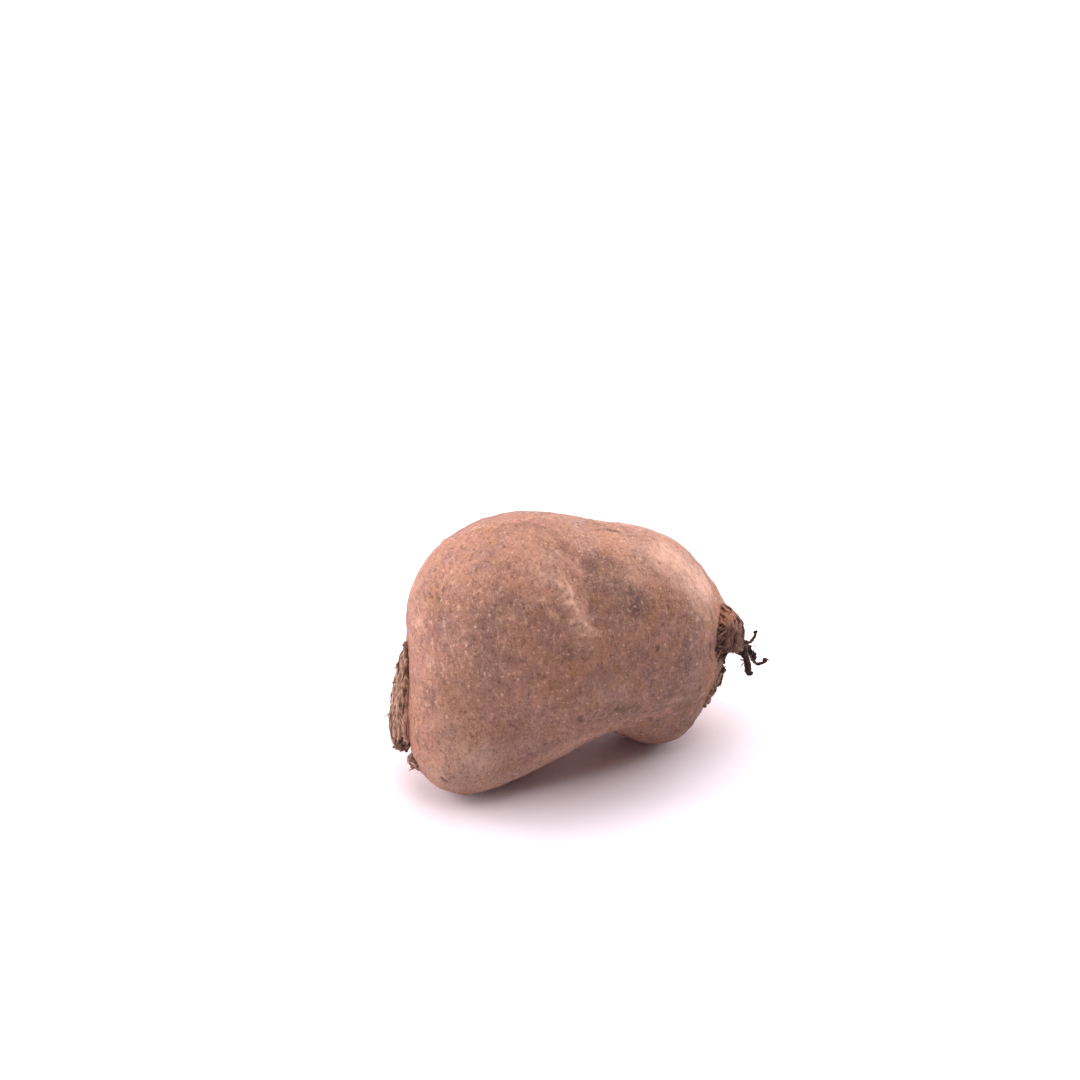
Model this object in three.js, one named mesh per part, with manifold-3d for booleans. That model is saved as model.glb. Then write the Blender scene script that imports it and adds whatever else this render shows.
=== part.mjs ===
// A Chinese potato: one small knobbly tuber, lying on its side as it was lifted and brushed off.
//
// Millimetres, +Z up. +X runs along the tuber from its scarred heel to the snapped stolon at its nose, and
// the origin is on the surface that it rests on, under the middle of its box. The tuber itself is one solid:
// rounded masses that flow into each other, with grooves pressed in between them. What stuck to it when it
// was dug up (the snapped stolon, the dry bark and a few wiry rootlets) is modelled as pieces of their own.

import * as THREE from "three";
import { mergeVertices } from "three/addons/utils/BufferGeometryUtils.js";
import Module from "manifold-3d";

const wasm = await Module();
wasm.setup();

// ---- Driving dimensions ---------------------------------------------------------------------------------
// Points are [x, y, z], measured from a spot under the core, at the height of the resting surface.

const CORE = new THREE.Vector3(0, 0, 23); // every point of the skin can be seen from here
const REACH = 60; // farther from the core than any point of the skin
const HALVINGS = 40; // how often the search for the skin along a ray is halved
const BLEND = 9; // how widely one mass flows into the next
const SKIN_STEPS = 15; // cuts along each edge of the icosahedron that the skin is wrapped from
const SKIN_STRETCH = new THREE.Vector3(1.35, 1, 0.95); // spreads those cuts evenly over a long body
const GAP = 0.3; // clearance between the tuber and what clings to it

// The rounded masses that make up the tuber: the centre and the half-sizes of each.
const MASSES = [
  { name: "body", at: [-3.5, 4.5, 27], half: [25.5, 24, 23.5] },
  { name: "crown", at: [-13, 7, 31], half: [18, 18.5, 16.5] },
  { name: "belly", at: [-12, -5.3, 12.5], half: [11, 8, 7.5] },
  { name: "heel foot", at: [-24, -4.2, 11.3], half: [11, 11, 11.8] },
  { name: "heel cheek", at: [-26, -1, 20.5], half: [5.3, 7, 7.5] },
  { name: "rear foot", at: [-7, 12.5, 8.8], half: [12, 10, 10] },
  { name: "shoulder", at: [14.5, 3, 26], half: [16.5, 18, 18.5] },
  { name: "cheek", at: [23, 0.5, 18.5], half: [6.5, 7, 7] },
  { name: "nose foot", at: [16, -1, 8.7], half: [9.5, 9.5, 9.5] },
  { name: "nose", at: [27, 1.5, 24], half: [4.5, 3, 3.5] },
];

// Soft grooves pressed into the skin along bent lines. Where a line leaves the skin, its groove fades out.
const HOLLOWS = [
  { name: "arch underneath", spread: 10, depth: 2, through: [[4, -22, 4], [4, 16, 0]] },
  {
    name: "valley between the two lobes",
    spread: 6,
    depth: 3,
    through: [[2, -20, 43], [3, 0, 50], [11, 15, 53], [11, 24, 46], [4, 34, 28]],
  },
];

// The snapped stolon, a fibrous plug on the nose, and its profile as [radius, height] from seat to torn end.
const STUB_SEAT = [27.4, -3.2, 26.6];
const STUB_AIM = [1, -0.5, -0.2];
const STUB_PROFILE = [[0, 0], [3, 0], [3.6, 2.2], [3.4, 4.2], [3.8, 6.1], [2.8, 6.7], [0, 5.9]];
const STUB_SIDES = 18;
const STUB_RAGGEDNESS = 0.07; // how much its radius wanders, as a share

// Dry bark that lies on the skin: a strip from one place to another, how far it stands off the skin at each
// end, and how thick it is there.
const BARK = [
  {
    name: "heel_bark_scale",
    from: [-33, 8, 28.5],
    to: [-36, -2.5, 9.5],
    width: 6.5,
    lift: [0.5, GAP],
    thick: [0.3, 3],
  },
  {
    name: "heel_bark_nub",
    from: [-36, -3.5, 9],
    to: [-35, -7, 7],
    width: 3,
    lift: [GAP, GAP],
    thick: [1.4, 0.7],
  },
  {
    name: "nose_bark_flake",
    from: [30, -6, 18],
    to: [24, -8, 11],
    width: 3,
    lift: [GAP, GAP],
    thick: [0.8, 0.5],
  },
];
const BARK_CUTS = [16, 6]; // along a strip and across it
const BARK_TAPER = 0.9; // how much a strip narrows and thins at its very ends, from 0 to 1

// Wiry rootlets, each a bent wire that starts inside the stub.
const ROOTLETS = [
  {
    name: "hanging_rootlet",
    radius: 0.65,
    through: [[31.5, -4.6, 24], [34.4, -3.6, 20.8], [36.1, -4, 16.7], [36.4, -4.5, 13.4]],
  },
  {
    name: "curled_rootlet",
    radius: 0.45,
    through: [[31.4, -2.4, 23.6], [34.4, -0.6, 20], [37.6, 1, 16], [40.4, 1.2, 10.6], [42.2, 0.5, 11.9]],
  },
  {
    name: "upturned_rootlet",
    radius: 0.4,
    through: [[32.4, -3, 25.2], [35.4, -1.9, 20.6], [37.6, -1, 18.7], [39.3, 0, 20.3]],
  },
];
const ROOTLET_SIDES = 7;
const ROOTLET_STEPS = 14;

// ---- The skin as a distance field -----------------------------------------------------------------------

/** Roughly how far a point is outside an ellipsoid with that centre and those half-sizes. */
function ellipsoidDistance(point, centre, half) {
  const scaled = point.clone().sub(centre).divide(half);
  const slope = scaled.clone().divide(half);
  return (scaled.length() * (scaled.length() - 1)) / Math.max(slope.length(), 1e-9);
}

/** The lesser of two distances, rounded where they meet. */
function blendedMin(a, b, width) {
  const overlap = Math.max(width - Math.abs(a - b), 0) / width;
  return Math.min(a, b) - (overlap * overlap * width) / 4;
}

const masses = MASSES.map(({ at, half }) => ({
  centre: new THREE.Vector3(...at),
  half: new THREE.Vector3(...half),
}));
const hollows = HOLLOWS.map(({ spread, depth, through }) => {
  const points = through.map((point) => new THREE.Vector3(...point));
  const lines = points.slice(1).map((point, index) => new THREE.Line3(points[index], point));
  return { spread, depth, lines };
});

/** The squared distance from a point to the nearest of some lines. */
function squaredDistanceTo(lines, point) {
  const nearest = new THREE.Vector3();
  return Math.min(
    ...lines.map((line) => line.closestPointToPoint(point, true, nearest).distanceToSquared(point)),
  );
}

/** Signed distance from the skin, negative inside the tuber. */
function skinDistance(point) {
  let distance = REACH;
  for (const { centre, half } of masses) {
    distance = blendedMin(distance, ellipsoidDistance(point, centre, half), BLEND);
  }
  for (const { spread, depth, lines } of hollows) {
    distance += depth * Math.exp(-squaredDistanceTo(lines, point) / spread ** 2);
  }
  return distance;
}

/** The point where a ray from the core leaves the tuber, grown by an offset. */
function skinPoint(direction, offset = 0) {
  let inside = 0;
  let outside = REACH;
  for (let step = 0; step < HALVINGS; step++) {
    const middle = (inside + outside) / 2;
    const point = direction.clone().multiplyScalar(middle).add(CORE);
    if (skinDistance(point) < offset) inside = middle;
    else outside = middle;
  }
  return direction.clone().multiplyScalar(inside).add(CORE);
}

// ---- Closed geometries and solids -----------------------------------------------------------------------

/** A closed geometry with its shared vertices merged, as manifold-3d wants it. */
function merged(geometry) {
  const bare = geometry.clone();
  bare.deleteAttribute("normal");
  bare.deleteAttribute("uv");
  return mergeVertices(bare, 1e-4);
}

function toSolid(geometry) {
  const closed = merged(geometry);
  return new wasm.Manifold(
    new wasm.Mesh({
      numProp: 3,
      vertProperties: closed.attributes.position.array,
      triVerts: new Uint32Array(closed.index.array),
    }),
  );
}

function toGeometry(solid) {
  const mesh = solid.getMesh();
  return new THREE.BufferGeometry()
    .setAttribute("position", new THREE.BufferAttribute(new Float32Array(mesh.vertProperties), 3))
    .setIndex(new THREE.BufferAttribute(new Uint32Array(mesh.triVerts), 1));
}

/** Moves every vertex of a geometry, once its doubles are merged, to where a function puts it. */
function reshaped(geometry, placed) {
  const result = merged(geometry);
  const position = result.attributes.position;
  const vertex = new THREE.Vector3();
  for (let i = 0; i < position.count; i++) {
    position.setXYZ(i, ...placed(vertex.fromBufferAttribute(position, i)).toArray());
  }
  return result;
}

// ---- The tuber ------------------------------------------------------------------------------------------

/** The whole skin, grown outwards by an offset. */
function skinGeometry(offset = 0) {
  const ball = new THREE.IcosahedronGeometry(1, SKIN_STEPS);
  return reshaped(ball, (vertex) => skinPoint(vertex.multiply(SKIN_STRETCH).normalize(), offset));
}

/** The tuber, cut level where it settles on the surface under it. */
function tuberSolid() {
  const ground = new THREE.BoxGeometry(4 * REACH, 4 * REACH, REACH).translate(0, 0, -REACH / 2);
  return toSolid(skinGeometry()).subtract(toSolid(ground));
}

// ---- What clings to it ----------------------------------------------------------------------------------

/** The fibrous plug before the nose is cut out of it, grown outwards by an offset. */
function stubGeometry(offset = 0) {
  const last = STUB_PROFILE.length - 1;
  const profile = STUB_PROFILE.map(([radius, height], index) => {
    const widened = index === 0 || index === last ? 0 : radius + offset;
    return new THREE.Vector2(widened, height + (index < 2 ? -offset : offset));
  });
  const up = new THREE.Vector3(0, 1, 0);
  const aim = new THREE.Vector3(...STUB_AIM).normalize();
  const turn = new THREE.Quaternion().setFromUnitVectors(up, aim);
  const seat = new THREE.Vector3(...STUB_SEAT);
  return reshaped(new THREE.LatheGeometry(profile, STUB_SIDES), (vertex) => {
    const angle = Math.atan2(vertex.z, vertex.x);
    const wander = 1 + STUB_RAGGEDNESS * (Math.sin(3 * angle) + 0.6 * Math.cos(5 * angle + 1));
    return vertex.multiply(new THREE.Vector3(wander, 1, wander)).applyQuaternion(turn).add(seat);
  });
}

/** A strip of bark, wrapped onto the skin, that narrows to its ends. */
function barkGeometry({ from, to, width, lift, thick }) {
  const start = new THREE.Vector3(...from);
  const end = new THREE.Vector3(...to);
  const along = end.clone().sub(start);
  const outward = start.clone().lerp(end, 0.5).sub(CORE);
  const across = outward.cross(along).normalize();
  const slab = new THREE.BoxGeometry(1, 1, 1, ...BARK_CUTS, 1).translate(0.5, 0, 0.5);
  return reshaped(slab, ({ x: share, y: side, z: layer }) => {
    const taper = Math.sqrt(1 - BARK_TAPER * Math.abs(2 * share - 1) ** 3);
    const crest = 1 - 2 * side ** 2;
    const thickness = layer * crest * taper * THREE.MathUtils.lerp(...thick, share);
    const place = start.clone().lerp(end, share).addScaledVector(across, side * width * taper);
    return skinPoint(place.sub(CORE).normalize(), thickness + THREE.MathUtils.lerp(...lift, share));
  });
}

/** A rootlet: a round wire along a smooth curve. */
function rootletGeometry({ radius, through }) {
  const path = new THREE.CatmullRomCurve3(through.map((point) => new THREE.Vector3(...point)));
  const section = new THREE.Shape();
  section.absarc(0, 0, radius, 0, 2 * Math.PI);
  return new THREE.ExtrudeGeometry(section, {
    extrudePath: path,
    steps: ROOTLET_STEPS,
    curveSegments: ROOTLET_SIDES,
    bevelEnabled: false,
  });
}

// ---- The part -------------------------------------------------------------------------------------------

const skinMaterial = new THREE.MeshStandardMaterial({ color: "#a47666", roughness: 0.85, metalness: 0 });
const stubMaterial = new THREE.MeshStandardMaterial({ color: "#7a5548", roughness: 0.95, metalness: 0 });
const barkMaterial = new THREE.MeshStandardMaterial({ color: "#94705c", roughness: 0.95, metalness: 0 });
const rootletMaterial = new THREE.MeshStandardMaterial({ color: "#3d2a24", roughness: 0.9, metalness: 0 });

function piece(name, solid, material) {
  const mesh = new THREE.Mesh(toGeometry(solid), material);
  mesh.name = name;
  return mesh;
}

const grownSkin = toSolid(skinGeometry(GAP));
const grownStub = toSolid(stubGeometry(GAP));

const potato = new THREE.Group();
potato.add(piece("tuber", tuberSolid(), skinMaterial));
potato.add(piece("stolon_stub", toSolid(stubGeometry()).subtract(grownSkin), stubMaterial));
for (const bark of BARK) {
  potato.add(piece(bark.name, toSolid(barkGeometry(bark)), barkMaterial));
}
for (const rootlet of ROOTLETS) {
  const wire = toSolid(rootletGeometry(rootlet)).subtract(grownStub).subtract(grownSkin);
  potato.add(piece(rootlet.name, wire, rootletMaterial));
}

// The middle of the whole part's box goes over the origin.
const middle = new THREE.Box3().setFromObject(potato).getCenter(new THREE.Vector3());
potato.position.set(-middle.x, -middle.y, 0);

export default potato;
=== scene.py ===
"""The looks of a Chinese potato: a small knobbly tuber with what still clings to it from the soil.

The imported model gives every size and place. Blender's lengths are metres; the sizes in the classes below are
millimetres, and MM turns them into metres. A place on a piece is written as shares of that piece's box, from
(0, 0, 0) at its lowest corner to (1, 1, 1) at its highest, so it follows the frame.
"""

import logging
import math
import random
from dataclasses import dataclass
from enum import Enum
from typing import Callable, Iterable, Sequence

import bmesh
import bpy
from mathutils import Matrix, Vector, noise
from mathutils.bvhtree import BVHTree
from mathutils.kdtree import KDTree


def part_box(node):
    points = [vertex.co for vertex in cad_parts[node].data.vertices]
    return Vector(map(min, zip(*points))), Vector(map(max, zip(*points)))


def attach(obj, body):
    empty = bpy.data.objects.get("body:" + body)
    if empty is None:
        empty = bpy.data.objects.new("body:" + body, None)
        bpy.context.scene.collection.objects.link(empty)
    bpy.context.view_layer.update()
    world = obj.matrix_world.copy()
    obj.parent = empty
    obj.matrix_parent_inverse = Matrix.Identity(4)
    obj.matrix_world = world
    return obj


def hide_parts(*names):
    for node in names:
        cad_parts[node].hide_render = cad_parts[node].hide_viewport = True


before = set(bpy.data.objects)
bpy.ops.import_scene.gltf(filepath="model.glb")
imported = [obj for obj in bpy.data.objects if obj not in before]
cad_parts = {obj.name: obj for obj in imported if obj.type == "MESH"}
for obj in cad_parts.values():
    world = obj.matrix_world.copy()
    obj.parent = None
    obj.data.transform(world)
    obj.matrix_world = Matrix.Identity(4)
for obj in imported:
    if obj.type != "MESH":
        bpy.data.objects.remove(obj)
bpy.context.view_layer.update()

MM = 0.001
UP = Vector((0, 0, 1))
BODY = "root"
QUARTERS = (0.0, 0.25, 0.5, 0.75, 1.0)
# Places on a surface are looked up from this many millimetres outside it.
OUTSIDE = 1.0
# Points of a CAD mesh this near each other, in metres, are one.
SAME_POINT = 1e-7
# Each layer of fractal noise is finer than the last by the step, and weaker the greater the fade.
NOISE_FADE, NOISE_STEP = 0.9, 2.1

Socket = bpy.types.NodeSocket
Colour = tuple[float, float, float]
Share = tuple[float, float, float]
Span = tuple[float, float]

log = logging.getLogger("potato")


class Slot(Enum):
    """The record's material slots."""

    SKIN = "tuber_skin"
    STOLON = "stolon_fibre"
    BARK = "dry_bark"
    ROOTLET = "rootlet"


class Tint(Enum):
    """What a mark adds to the skin's colour. Each is a point attribute that the skin finish reads."""

    # Grey-mauve stains, and painted shade in the crease beside the crest, under the fold and low on the nose.
    STAIN_AND_SHADE = "stain_and_shade"
    # Paler rubbed skin, and painted highlights on the crest and on the shoulders.
    PALE = "pale"
    RUST = "rust"
    SOIL = "soil"


class Profile(Enum):
    """How a mark rises or sinks from its border to its middle."""

    SOFT = "soft"
    RING = "ring"


# ---- Colours --------------------------------------------------------------------------------------------


def linear(colour: Colour) -> tuple[float, float, float, float]:
    """A colour as a shader needs it.

    Args:
        colour: red, green and blue from 0 to 1, as a screen shows them.

    Returns:
        The same colour in linear light, with a full alpha.
    """
    parts = [c / 12.92 if c <= 0.04045 else ((c + 0.055) / 1.055) ** 2.4 for c in colour]
    return parts[0], parts[1], parts[2], 1.0


# ---- Materials ------------------------------------------------------------------------------------------


@dataclass(frozen=True)
class Layer:
    """A colour that shows where a pattern is strong, or where it is weak if full is below start.

    It begins to show where the pattern reaches start, and covers by its share from full on. damp weakens it.
    """

    pattern: Socket
    start: float
    full: float
    share: float
    colour: Colour
    damp: Socket | None = None


class NodeGraph:
    """A material's node tree with one principled shader, built a node at a time."""

    def __init__(self, name: str) -> None:
        """Start a material.

        Args:
            name: the material's name.
        """
        self.material = bpy.data.materials.new(name)
        self.material.use_nodes = True
        self.tree = self.material.node_tree
        self.tree.nodes.clear()
        self.shader = self.add("BsdfPrincipled", {})
        self.output = self.add("OutputMaterial", {"Surface": self.shader.outputs["BSDF"]})
        self.place = self.add("TexCoord", {}).outputs["Object"]

    def feed(self, value: Socket | float | Sequence[float] | Colour, target: Socket) -> None:
        """Give a socket its value.

        Args:
            value: an output to link, a number, a list of numbers, or a colour as a screen shows it.
            target: the input that takes it.
        """
        if isinstance(value, bpy.types.NodeSocket):
            self.tree.links.new(value, target)
        elif isinstance(value, tuple):
            target.default_value = linear(value)
        else:
            target.default_value = value

    def add(self, kind: str, inputs: dict[str | int, object], **settings: object) -> bpy.types.Node:
        """Add a node.

        Args:
            kind: its type, such as TexNoise.
            inputs: what each of its inputs takes, by name or number: an output, a number, a list or a colour.
            **settings: its other properties.

        Returns:
            The node.
        """
        node = self.tree.nodes.new("ShaderNode" + kind)
        for name, value in settings.items():
            setattr(node, name, value)
        for name, value in inputs.items():
            self.feed(value, node.inputs[name])
        return node

    def stretched(self, along: Sequence[float]) -> Socket:
        """Object coordinates, each axis scaled by its own number."""
        return self.add("Mapping", {"Scale": list(along), "Vector": self.place}).outputs["Vector"]

    def noise(self, size: float, detail: float = 2.0, rough: float = 0.5, twist: float = 0.0,
              vector: Socket | None = None, seed: float = 0.0) -> Socket:
        """Cloudy noise.

        Args:
            size: the size of its largest clouds, in millimetres.
            detail: how many finer layers it has.
            rough: how strong the finer layers are.
            twist: how much it is distorted.
            vector: where it is read, or Object coordinates.
            seed: another number gives another pattern.

        Returns:
            The value, about 0.5 on average.
        """
        node = self.add("TexNoise", {
            "Vector": vector or self.place, "W": seed, "Scale": 1 / (size * MM), "Detail": detail,
            "Roughness": rough, "Distortion": twist,
        }, noise_dimensions="4D")
        return node.outputs["Fac"]

    def warped(self, size: float, amount: float) -> Socket:
        """Object coordinates, pushed about by noise so that a regular pattern loses its order.

        Args:
            size: the size of the pushes, in millimetres.
            amount: how far they push, in millimetres.

        Returns:
            The vector output.
        """
        node = self.add("TexNoise", {"Vector": self.place, "Scale": 1 / (size * MM)})
        # The noise runs from 0 to 1, so this is the whole width of the push.
        width = [2 * amount * MM] * 3
        pushed = {0: node.outputs["Color"], 1: width, 2: self.place}
        return self.add("VectorMath", pushed, operation="MULTIPLY_ADD").outputs["Vector"]

    def cells(self, size: float, feature: str = "F1", vector: Socket | None = None) -> Socket:
        """Distance in a pattern of cells.

        Args:
            size: the size of a cell, in millimetres.
            feature: F1 for the distance to a cell's middle, or DISTANCE_TO_EDGE.
            vector: where it is read, or Object coordinates.

        Returns:
            The distance output.
        """
        inputs = {"Vector": vector or self.place, "Scale": 1 / (size * MM)}
        return self.add("TexVoronoi", inputs, feature=feature).outputs["Distance"]

    def attribute(self, name: str) -> Socket:
        """A point attribute's value."""
        return self.add("Attribute", {}, attribute_name=name).outputs["Fac"]

    def span(self, value: Socket, low: float, high: float, start: float = 0.0, end: float = 1.0) -> Socket:
        """Spread a range of values over another range, smoothly and clamped.

        Args:
            value: what is spread.
            low: the value that becomes start.
            high: the value that becomes end.
            start: the result at low.
            end: the result at high.

        Returns:
            The spread value.
        """
        inputs = {"Value": value, "From Min": low, "From Max": high, "To Min": start, "To Max": end}
        return self.add("MapRange", inputs, interpolation_type="SMOOTHSTEP").outputs["Result"]

    def combine(self, operation: str, first: Socket | float, second: Socket | float) -> Socket:
        """Two values put together by a Math node's operation, such as MULTIPLY."""
        return self.add("Math", {0: first, 1: second}, operation=operation).outputs[0]

    def blend(self, share: Socket | float, under: Socket | Colour, over: Socket | Colour) -> Socket:
        """Lay one colour over another.

        Args:
            share: how much of the upper colour shows.
            under: the colour below.
            over: the colour above.

        Returns:
            The colour output.
        """
        node = self.add("Mix", {"Factor": share}, data_type="RGBA")
        self.feed(under, next(i for i in node.inputs if i.name == "A" and i.type == "RGBA"))
        self.feed(over, next(i for i in node.inputs if i.name == "B" and i.type == "RGBA"))
        return next(o for o in node.outputs if o.type == "RGBA")

    def layered(self, colour: Socket | Colour, layers: Iterable[Layer]) -> Socket:
        """Lay colours over one another.

        Args:
            colour: the colour below them all.
            layers: what is laid on it, the lowest first.

        Returns:
            The colour output.
        """
        for layer in layers:
            amount = self.span(layer.pattern, layer.start, layer.full, 0, layer.share)
            if layer.damp is not None:
                amount = self.combine("MULTIPLY", amount, layer.damp)
            colour = self.blend(amount, colour, layer.colour)
        return colour

    def bump(self, height: Socket, depth: float, under: Socket | None = None) -> Socket:
        """Relief in the shading.

        Args:
            height: the height, from 0 to 1.
            depth: how deep it is, in millimetres.
            under: the normal of a coarser relief that it is laid on.

        Returns:
            The normal output.
        """
        inputs = {"Height": height, "Distance": depth * MM}
        if under is not None:
            inputs["Normal"] = under
        return self.add("Bump", inputs).outputs["Normal"]

    def finish(self, colour: Socket, rough: Socket, normal: Socket, specular: float) -> bpy.types.Material:
        """Connect the shader.

        Args:
            colour: the base colour.
            rough: the roughness.
            normal: the normal with its relief.
            specular: the specular level, the same all over.

        Returns:
            The material.
        """
        sockets = {"Base Color": colour, "Roughness": rough, "Normal": normal, "Specular IOR Level": specular}
        for name, value in sockets.items():
            self.feed(value, self.shader.inputs[name])
        return self.material


@dataclass(frozen=True)
class SkinFinish:
    """Corky tuber skin: pinkish brown, clouded with mauve, ochre and pink, netted and specked with cork.

    The sizes of its patterns and the depths of its relief are in millimetres.
    """

    base: Colour = (0.730, 0.508, 0.424)
    mauve: Colour = (0.605, 0.430, 0.398)
    ochre: Colour = (0.710, 0.492, 0.340)
    pink: Colour = (0.785, 0.535, 0.462)
    # Used for real stains and for painted shade in the crease, under the fold and low on the nose.
    stain_and_shade: Colour = (0.455, 0.335, 0.318)
    light: Colour = (0.885, 0.685, 0.585)
    # Used for rubbed skin and for painted highlights on the crest and the shoulders.
    pale: Colour = (0.950, 0.735, 0.645)
    rust: Colour = (0.740, 0.480, 0.340)
    soil: Colour = (0.300, 0.200, 0.155)
    dark_speck: Colour = (0.440, 0.285, 0.230)
    light_speck: Colour = (0.890, 0.690, 0.595)
    dot: Colour = (0.940, 0.760, 0.665)
    net: Colour = (0.430, 0.300, 0.265)
    cloud_size: float = 6.5
    hue_size: float = 3.575
    mottle_size: float = 2.1
    patch_size: float = 3.36
    net_size: float = 0.95
    net_warp_size: float = 0.8
    net_warp: float = 0.45
    speck_size: float = 0.75
    wrinkle_size: float = 0.5
    wrinkle_squeeze: float = 0.28
    grain_size: float = 0.32
    dot_gap: float = 2.9
    dot_radii: Span = (0.03, 0.13)
    dot_share: float = 0.6
    furrow_width: float = 0.16
    net_shares: Span = (0.05, 0.42)
    net_depth: float = 0.10
    net_weight: float = 0.9
    grain_depth: float = 0.06
    wear_and_highlight_share: float = 0.45
    roughness: Span = (0.6, 0.8)
    specular: float = 0.42

    def make(self) -> bpy.types.Material:
        """Make the material.

        Returns:
            The material, which reads the skin's tint attributes.
        """
        graph = NodeGraph("corky_skin")
        mottle = graph.noise(self.mottle_size, 4, 0.6, 0.4, seed=3.0)
        specks = graph.noise(self.speck_size, 3, 0.62, 0.2, seed=1.0)
        grain = graph.noise(self.grain_size, 3, 0.6, seed=2.0)
        squeezed = graph.stretched((1, self.wrinkle_squeeze, self.wrinkle_squeeze))
        wrinkles = graph.noise(self.wrinkle_size, 3, 0.55, 0.3, squeezed, seed=4.0)
        net = self.netted(graph)
        # Where the pale tint lies, on rubbed skin and on the painted highlights, the net and the dark specks
        # fade too.
        wear_and_highlight = graph.span(graph.attribute(Tint.PALE.value), 0.4, 1.0, 1, self.wear_and_highlight_share)
        colour = self.clouded(graph, mottle)
        colour = graph.blend(graph.combine("MULTIPLY", net, wear_and_highlight), colour, self.net)
        colour = graph.layered(colour, (
            Layer(specks, 0.54, 0.68, 0.60, self.dark_speck, wear_and_highlight),
            Layer(specks, 0.44, 0.30, 0.62, self.light_speck),
            Layer(wrinkles, 0.55, 0.70, 0.50, self.dark_speck, wear_and_highlight),
            Layer(wrinkles, 0.43, 0.28, 0.46, self.light_speck),
            Layer(grain, 0.50, 0.68, 0.34, self.dark_speck, wear_and_highlight),
            Layer(grain, 0.46, 0.30, 0.34, self.light_speck),
        ))
        dots = graph.span(graph.cells(self.dot_gap), *self.dot_radii, self.dot_share, 0)
        colour = graph.blend(dots, colour, self.dot)
        colour = graph.blend(graph.attribute(Tint.SOIL.value), colour, self.soil)
        height = graph.combine("SUBTRACT", specks, graph.combine("MULTIPLY", net, self.net_weight))
        normal = graph.bump(height, self.net_depth)
        normal = graph.bump(grain, self.grain_depth, normal)
        return graph.finish(colour, graph.span(mottle, 0.3, 0.7, *self.roughness), normal, self.specular)

    def netted(self, graph: NodeGraph) -> Socket:
        """The net of fine furrows, which comes and goes over the skin.

        Args:
            graph: the material's node tree.

        Returns:
            How much the net shows.
        """
        patches = graph.noise(self.patch_size, 3, 0.6, seed=5.0)
        bends = graph.warped(self.net_warp_size, self.net_warp)
        edges = graph.cells(self.net_size, "DISTANCE_TO_EDGE", bends)
        furrows = graph.span(edges, 0.0, self.furrow_width, 1, 0)
        return graph.combine("MULTIPLY", furrows, graph.span(patches, 0.42, 0.66, *self.net_shares))

    def clouded(self, graph: NodeGraph, mottle: Socket) -> Socket:
        """The skin's colour without its finest marks.

        Args:
            graph: the material's node tree.
            mottle: the noise that breaks up every border.

        Returns:
            The colour.
        """
        cloud = graph.noise(self.cloud_size, 4, 0.6, 0.5, seed=7.0)
        hue = graph.noise(self.hue_size, 4, 0.6, 0.5, seed=9.0)
        colour = graph.layered(self.base, (
            Layer(cloud, 0.46, 0.64, 0.75, self.mauve),
            Layer(hue, 0.53, 0.67, 0.80, self.ochre),
            Layer(hue, 0.44, 0.32, 0.60, self.pink),
            Layer(mottle, 0.53, 0.72, 0.55, self.mauve),
            Layer(mottle, 0.45, 0.28, 0.45, self.light),
        ))
        broken = graph.span(mottle, 0.28, 0.58, 0.35, 1)
        for tint, tone in ((Tint.STAIN_AND_SHADE, self.stain_and_shade), (Tint.RUST, self.rust), (Tint.PALE, self.pale)):
            share = graph.combine("MULTIPLY", graph.attribute(tint.value), broken)
            colour = graph.blend(share, colour, tone)
        return colour


@dataclass(frozen=True)
class FibreFinish:
    """Dry plant fibre: streaks and blotches over a piece that carries its own tone at each point.

    The size of its streaks and the depths of its relief are in millimetres. stretch squeezes the streaks'
    noise along Z, so it draws them out that way.
    """

    name: str
    dark: Colour
    mid: Colour
    light: Colour
    fresh: Colour = (0.70, 0.48, 0.39)
    streak_size: float = 0.35
    stretch: float = 0.14
    streak_depth: float = 0.12
    grain_depth: float = 0.05
    roughness: Span = (0.72, 0.92)
    specular: float = 0.25

    def make(self) -> bpy.types.Material:
        """Make the material.

        Returns:
            The material, which reads the piece's own tone: 1 is dark, and -1 is fresh tissue.
        """
        graph = NodeGraph(self.name)
        streaks = graph.noise(self.streak_size, 4, 0.6, 0.4, graph.stretched((1, 1, self.stretch)))
        blotches = graph.noise(self.streak_size * 6, 3, 0.6)
        grain = graph.noise(self.streak_size * 0.45, 3, 0.6)
        tone = graph.attribute("tone")
        colour = graph.layered(self.mid, (
            Layer(streaks, 0.36, 0.62, 1.0, self.light),
            Layer(blotches, 0.45, 0.66, 0.75, self.dark),
            Layer(tone, 0.0, -0.7, 1.0, self.fresh),
        ))
        colour = graph.blend(tone, colour, self.dark)
        colour = graph.layered(colour, [Layer(grain, 0.55, 0.75, 0.5, self.dark)])
        normal = graph.bump(streaks, self.streak_depth)
        normal = graph.bump(grain, self.grain_depth, normal)
        return graph.finish(colour, graph.span(blotches, 0.3, 0.7, *self.roughness), normal, self.specular)


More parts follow.
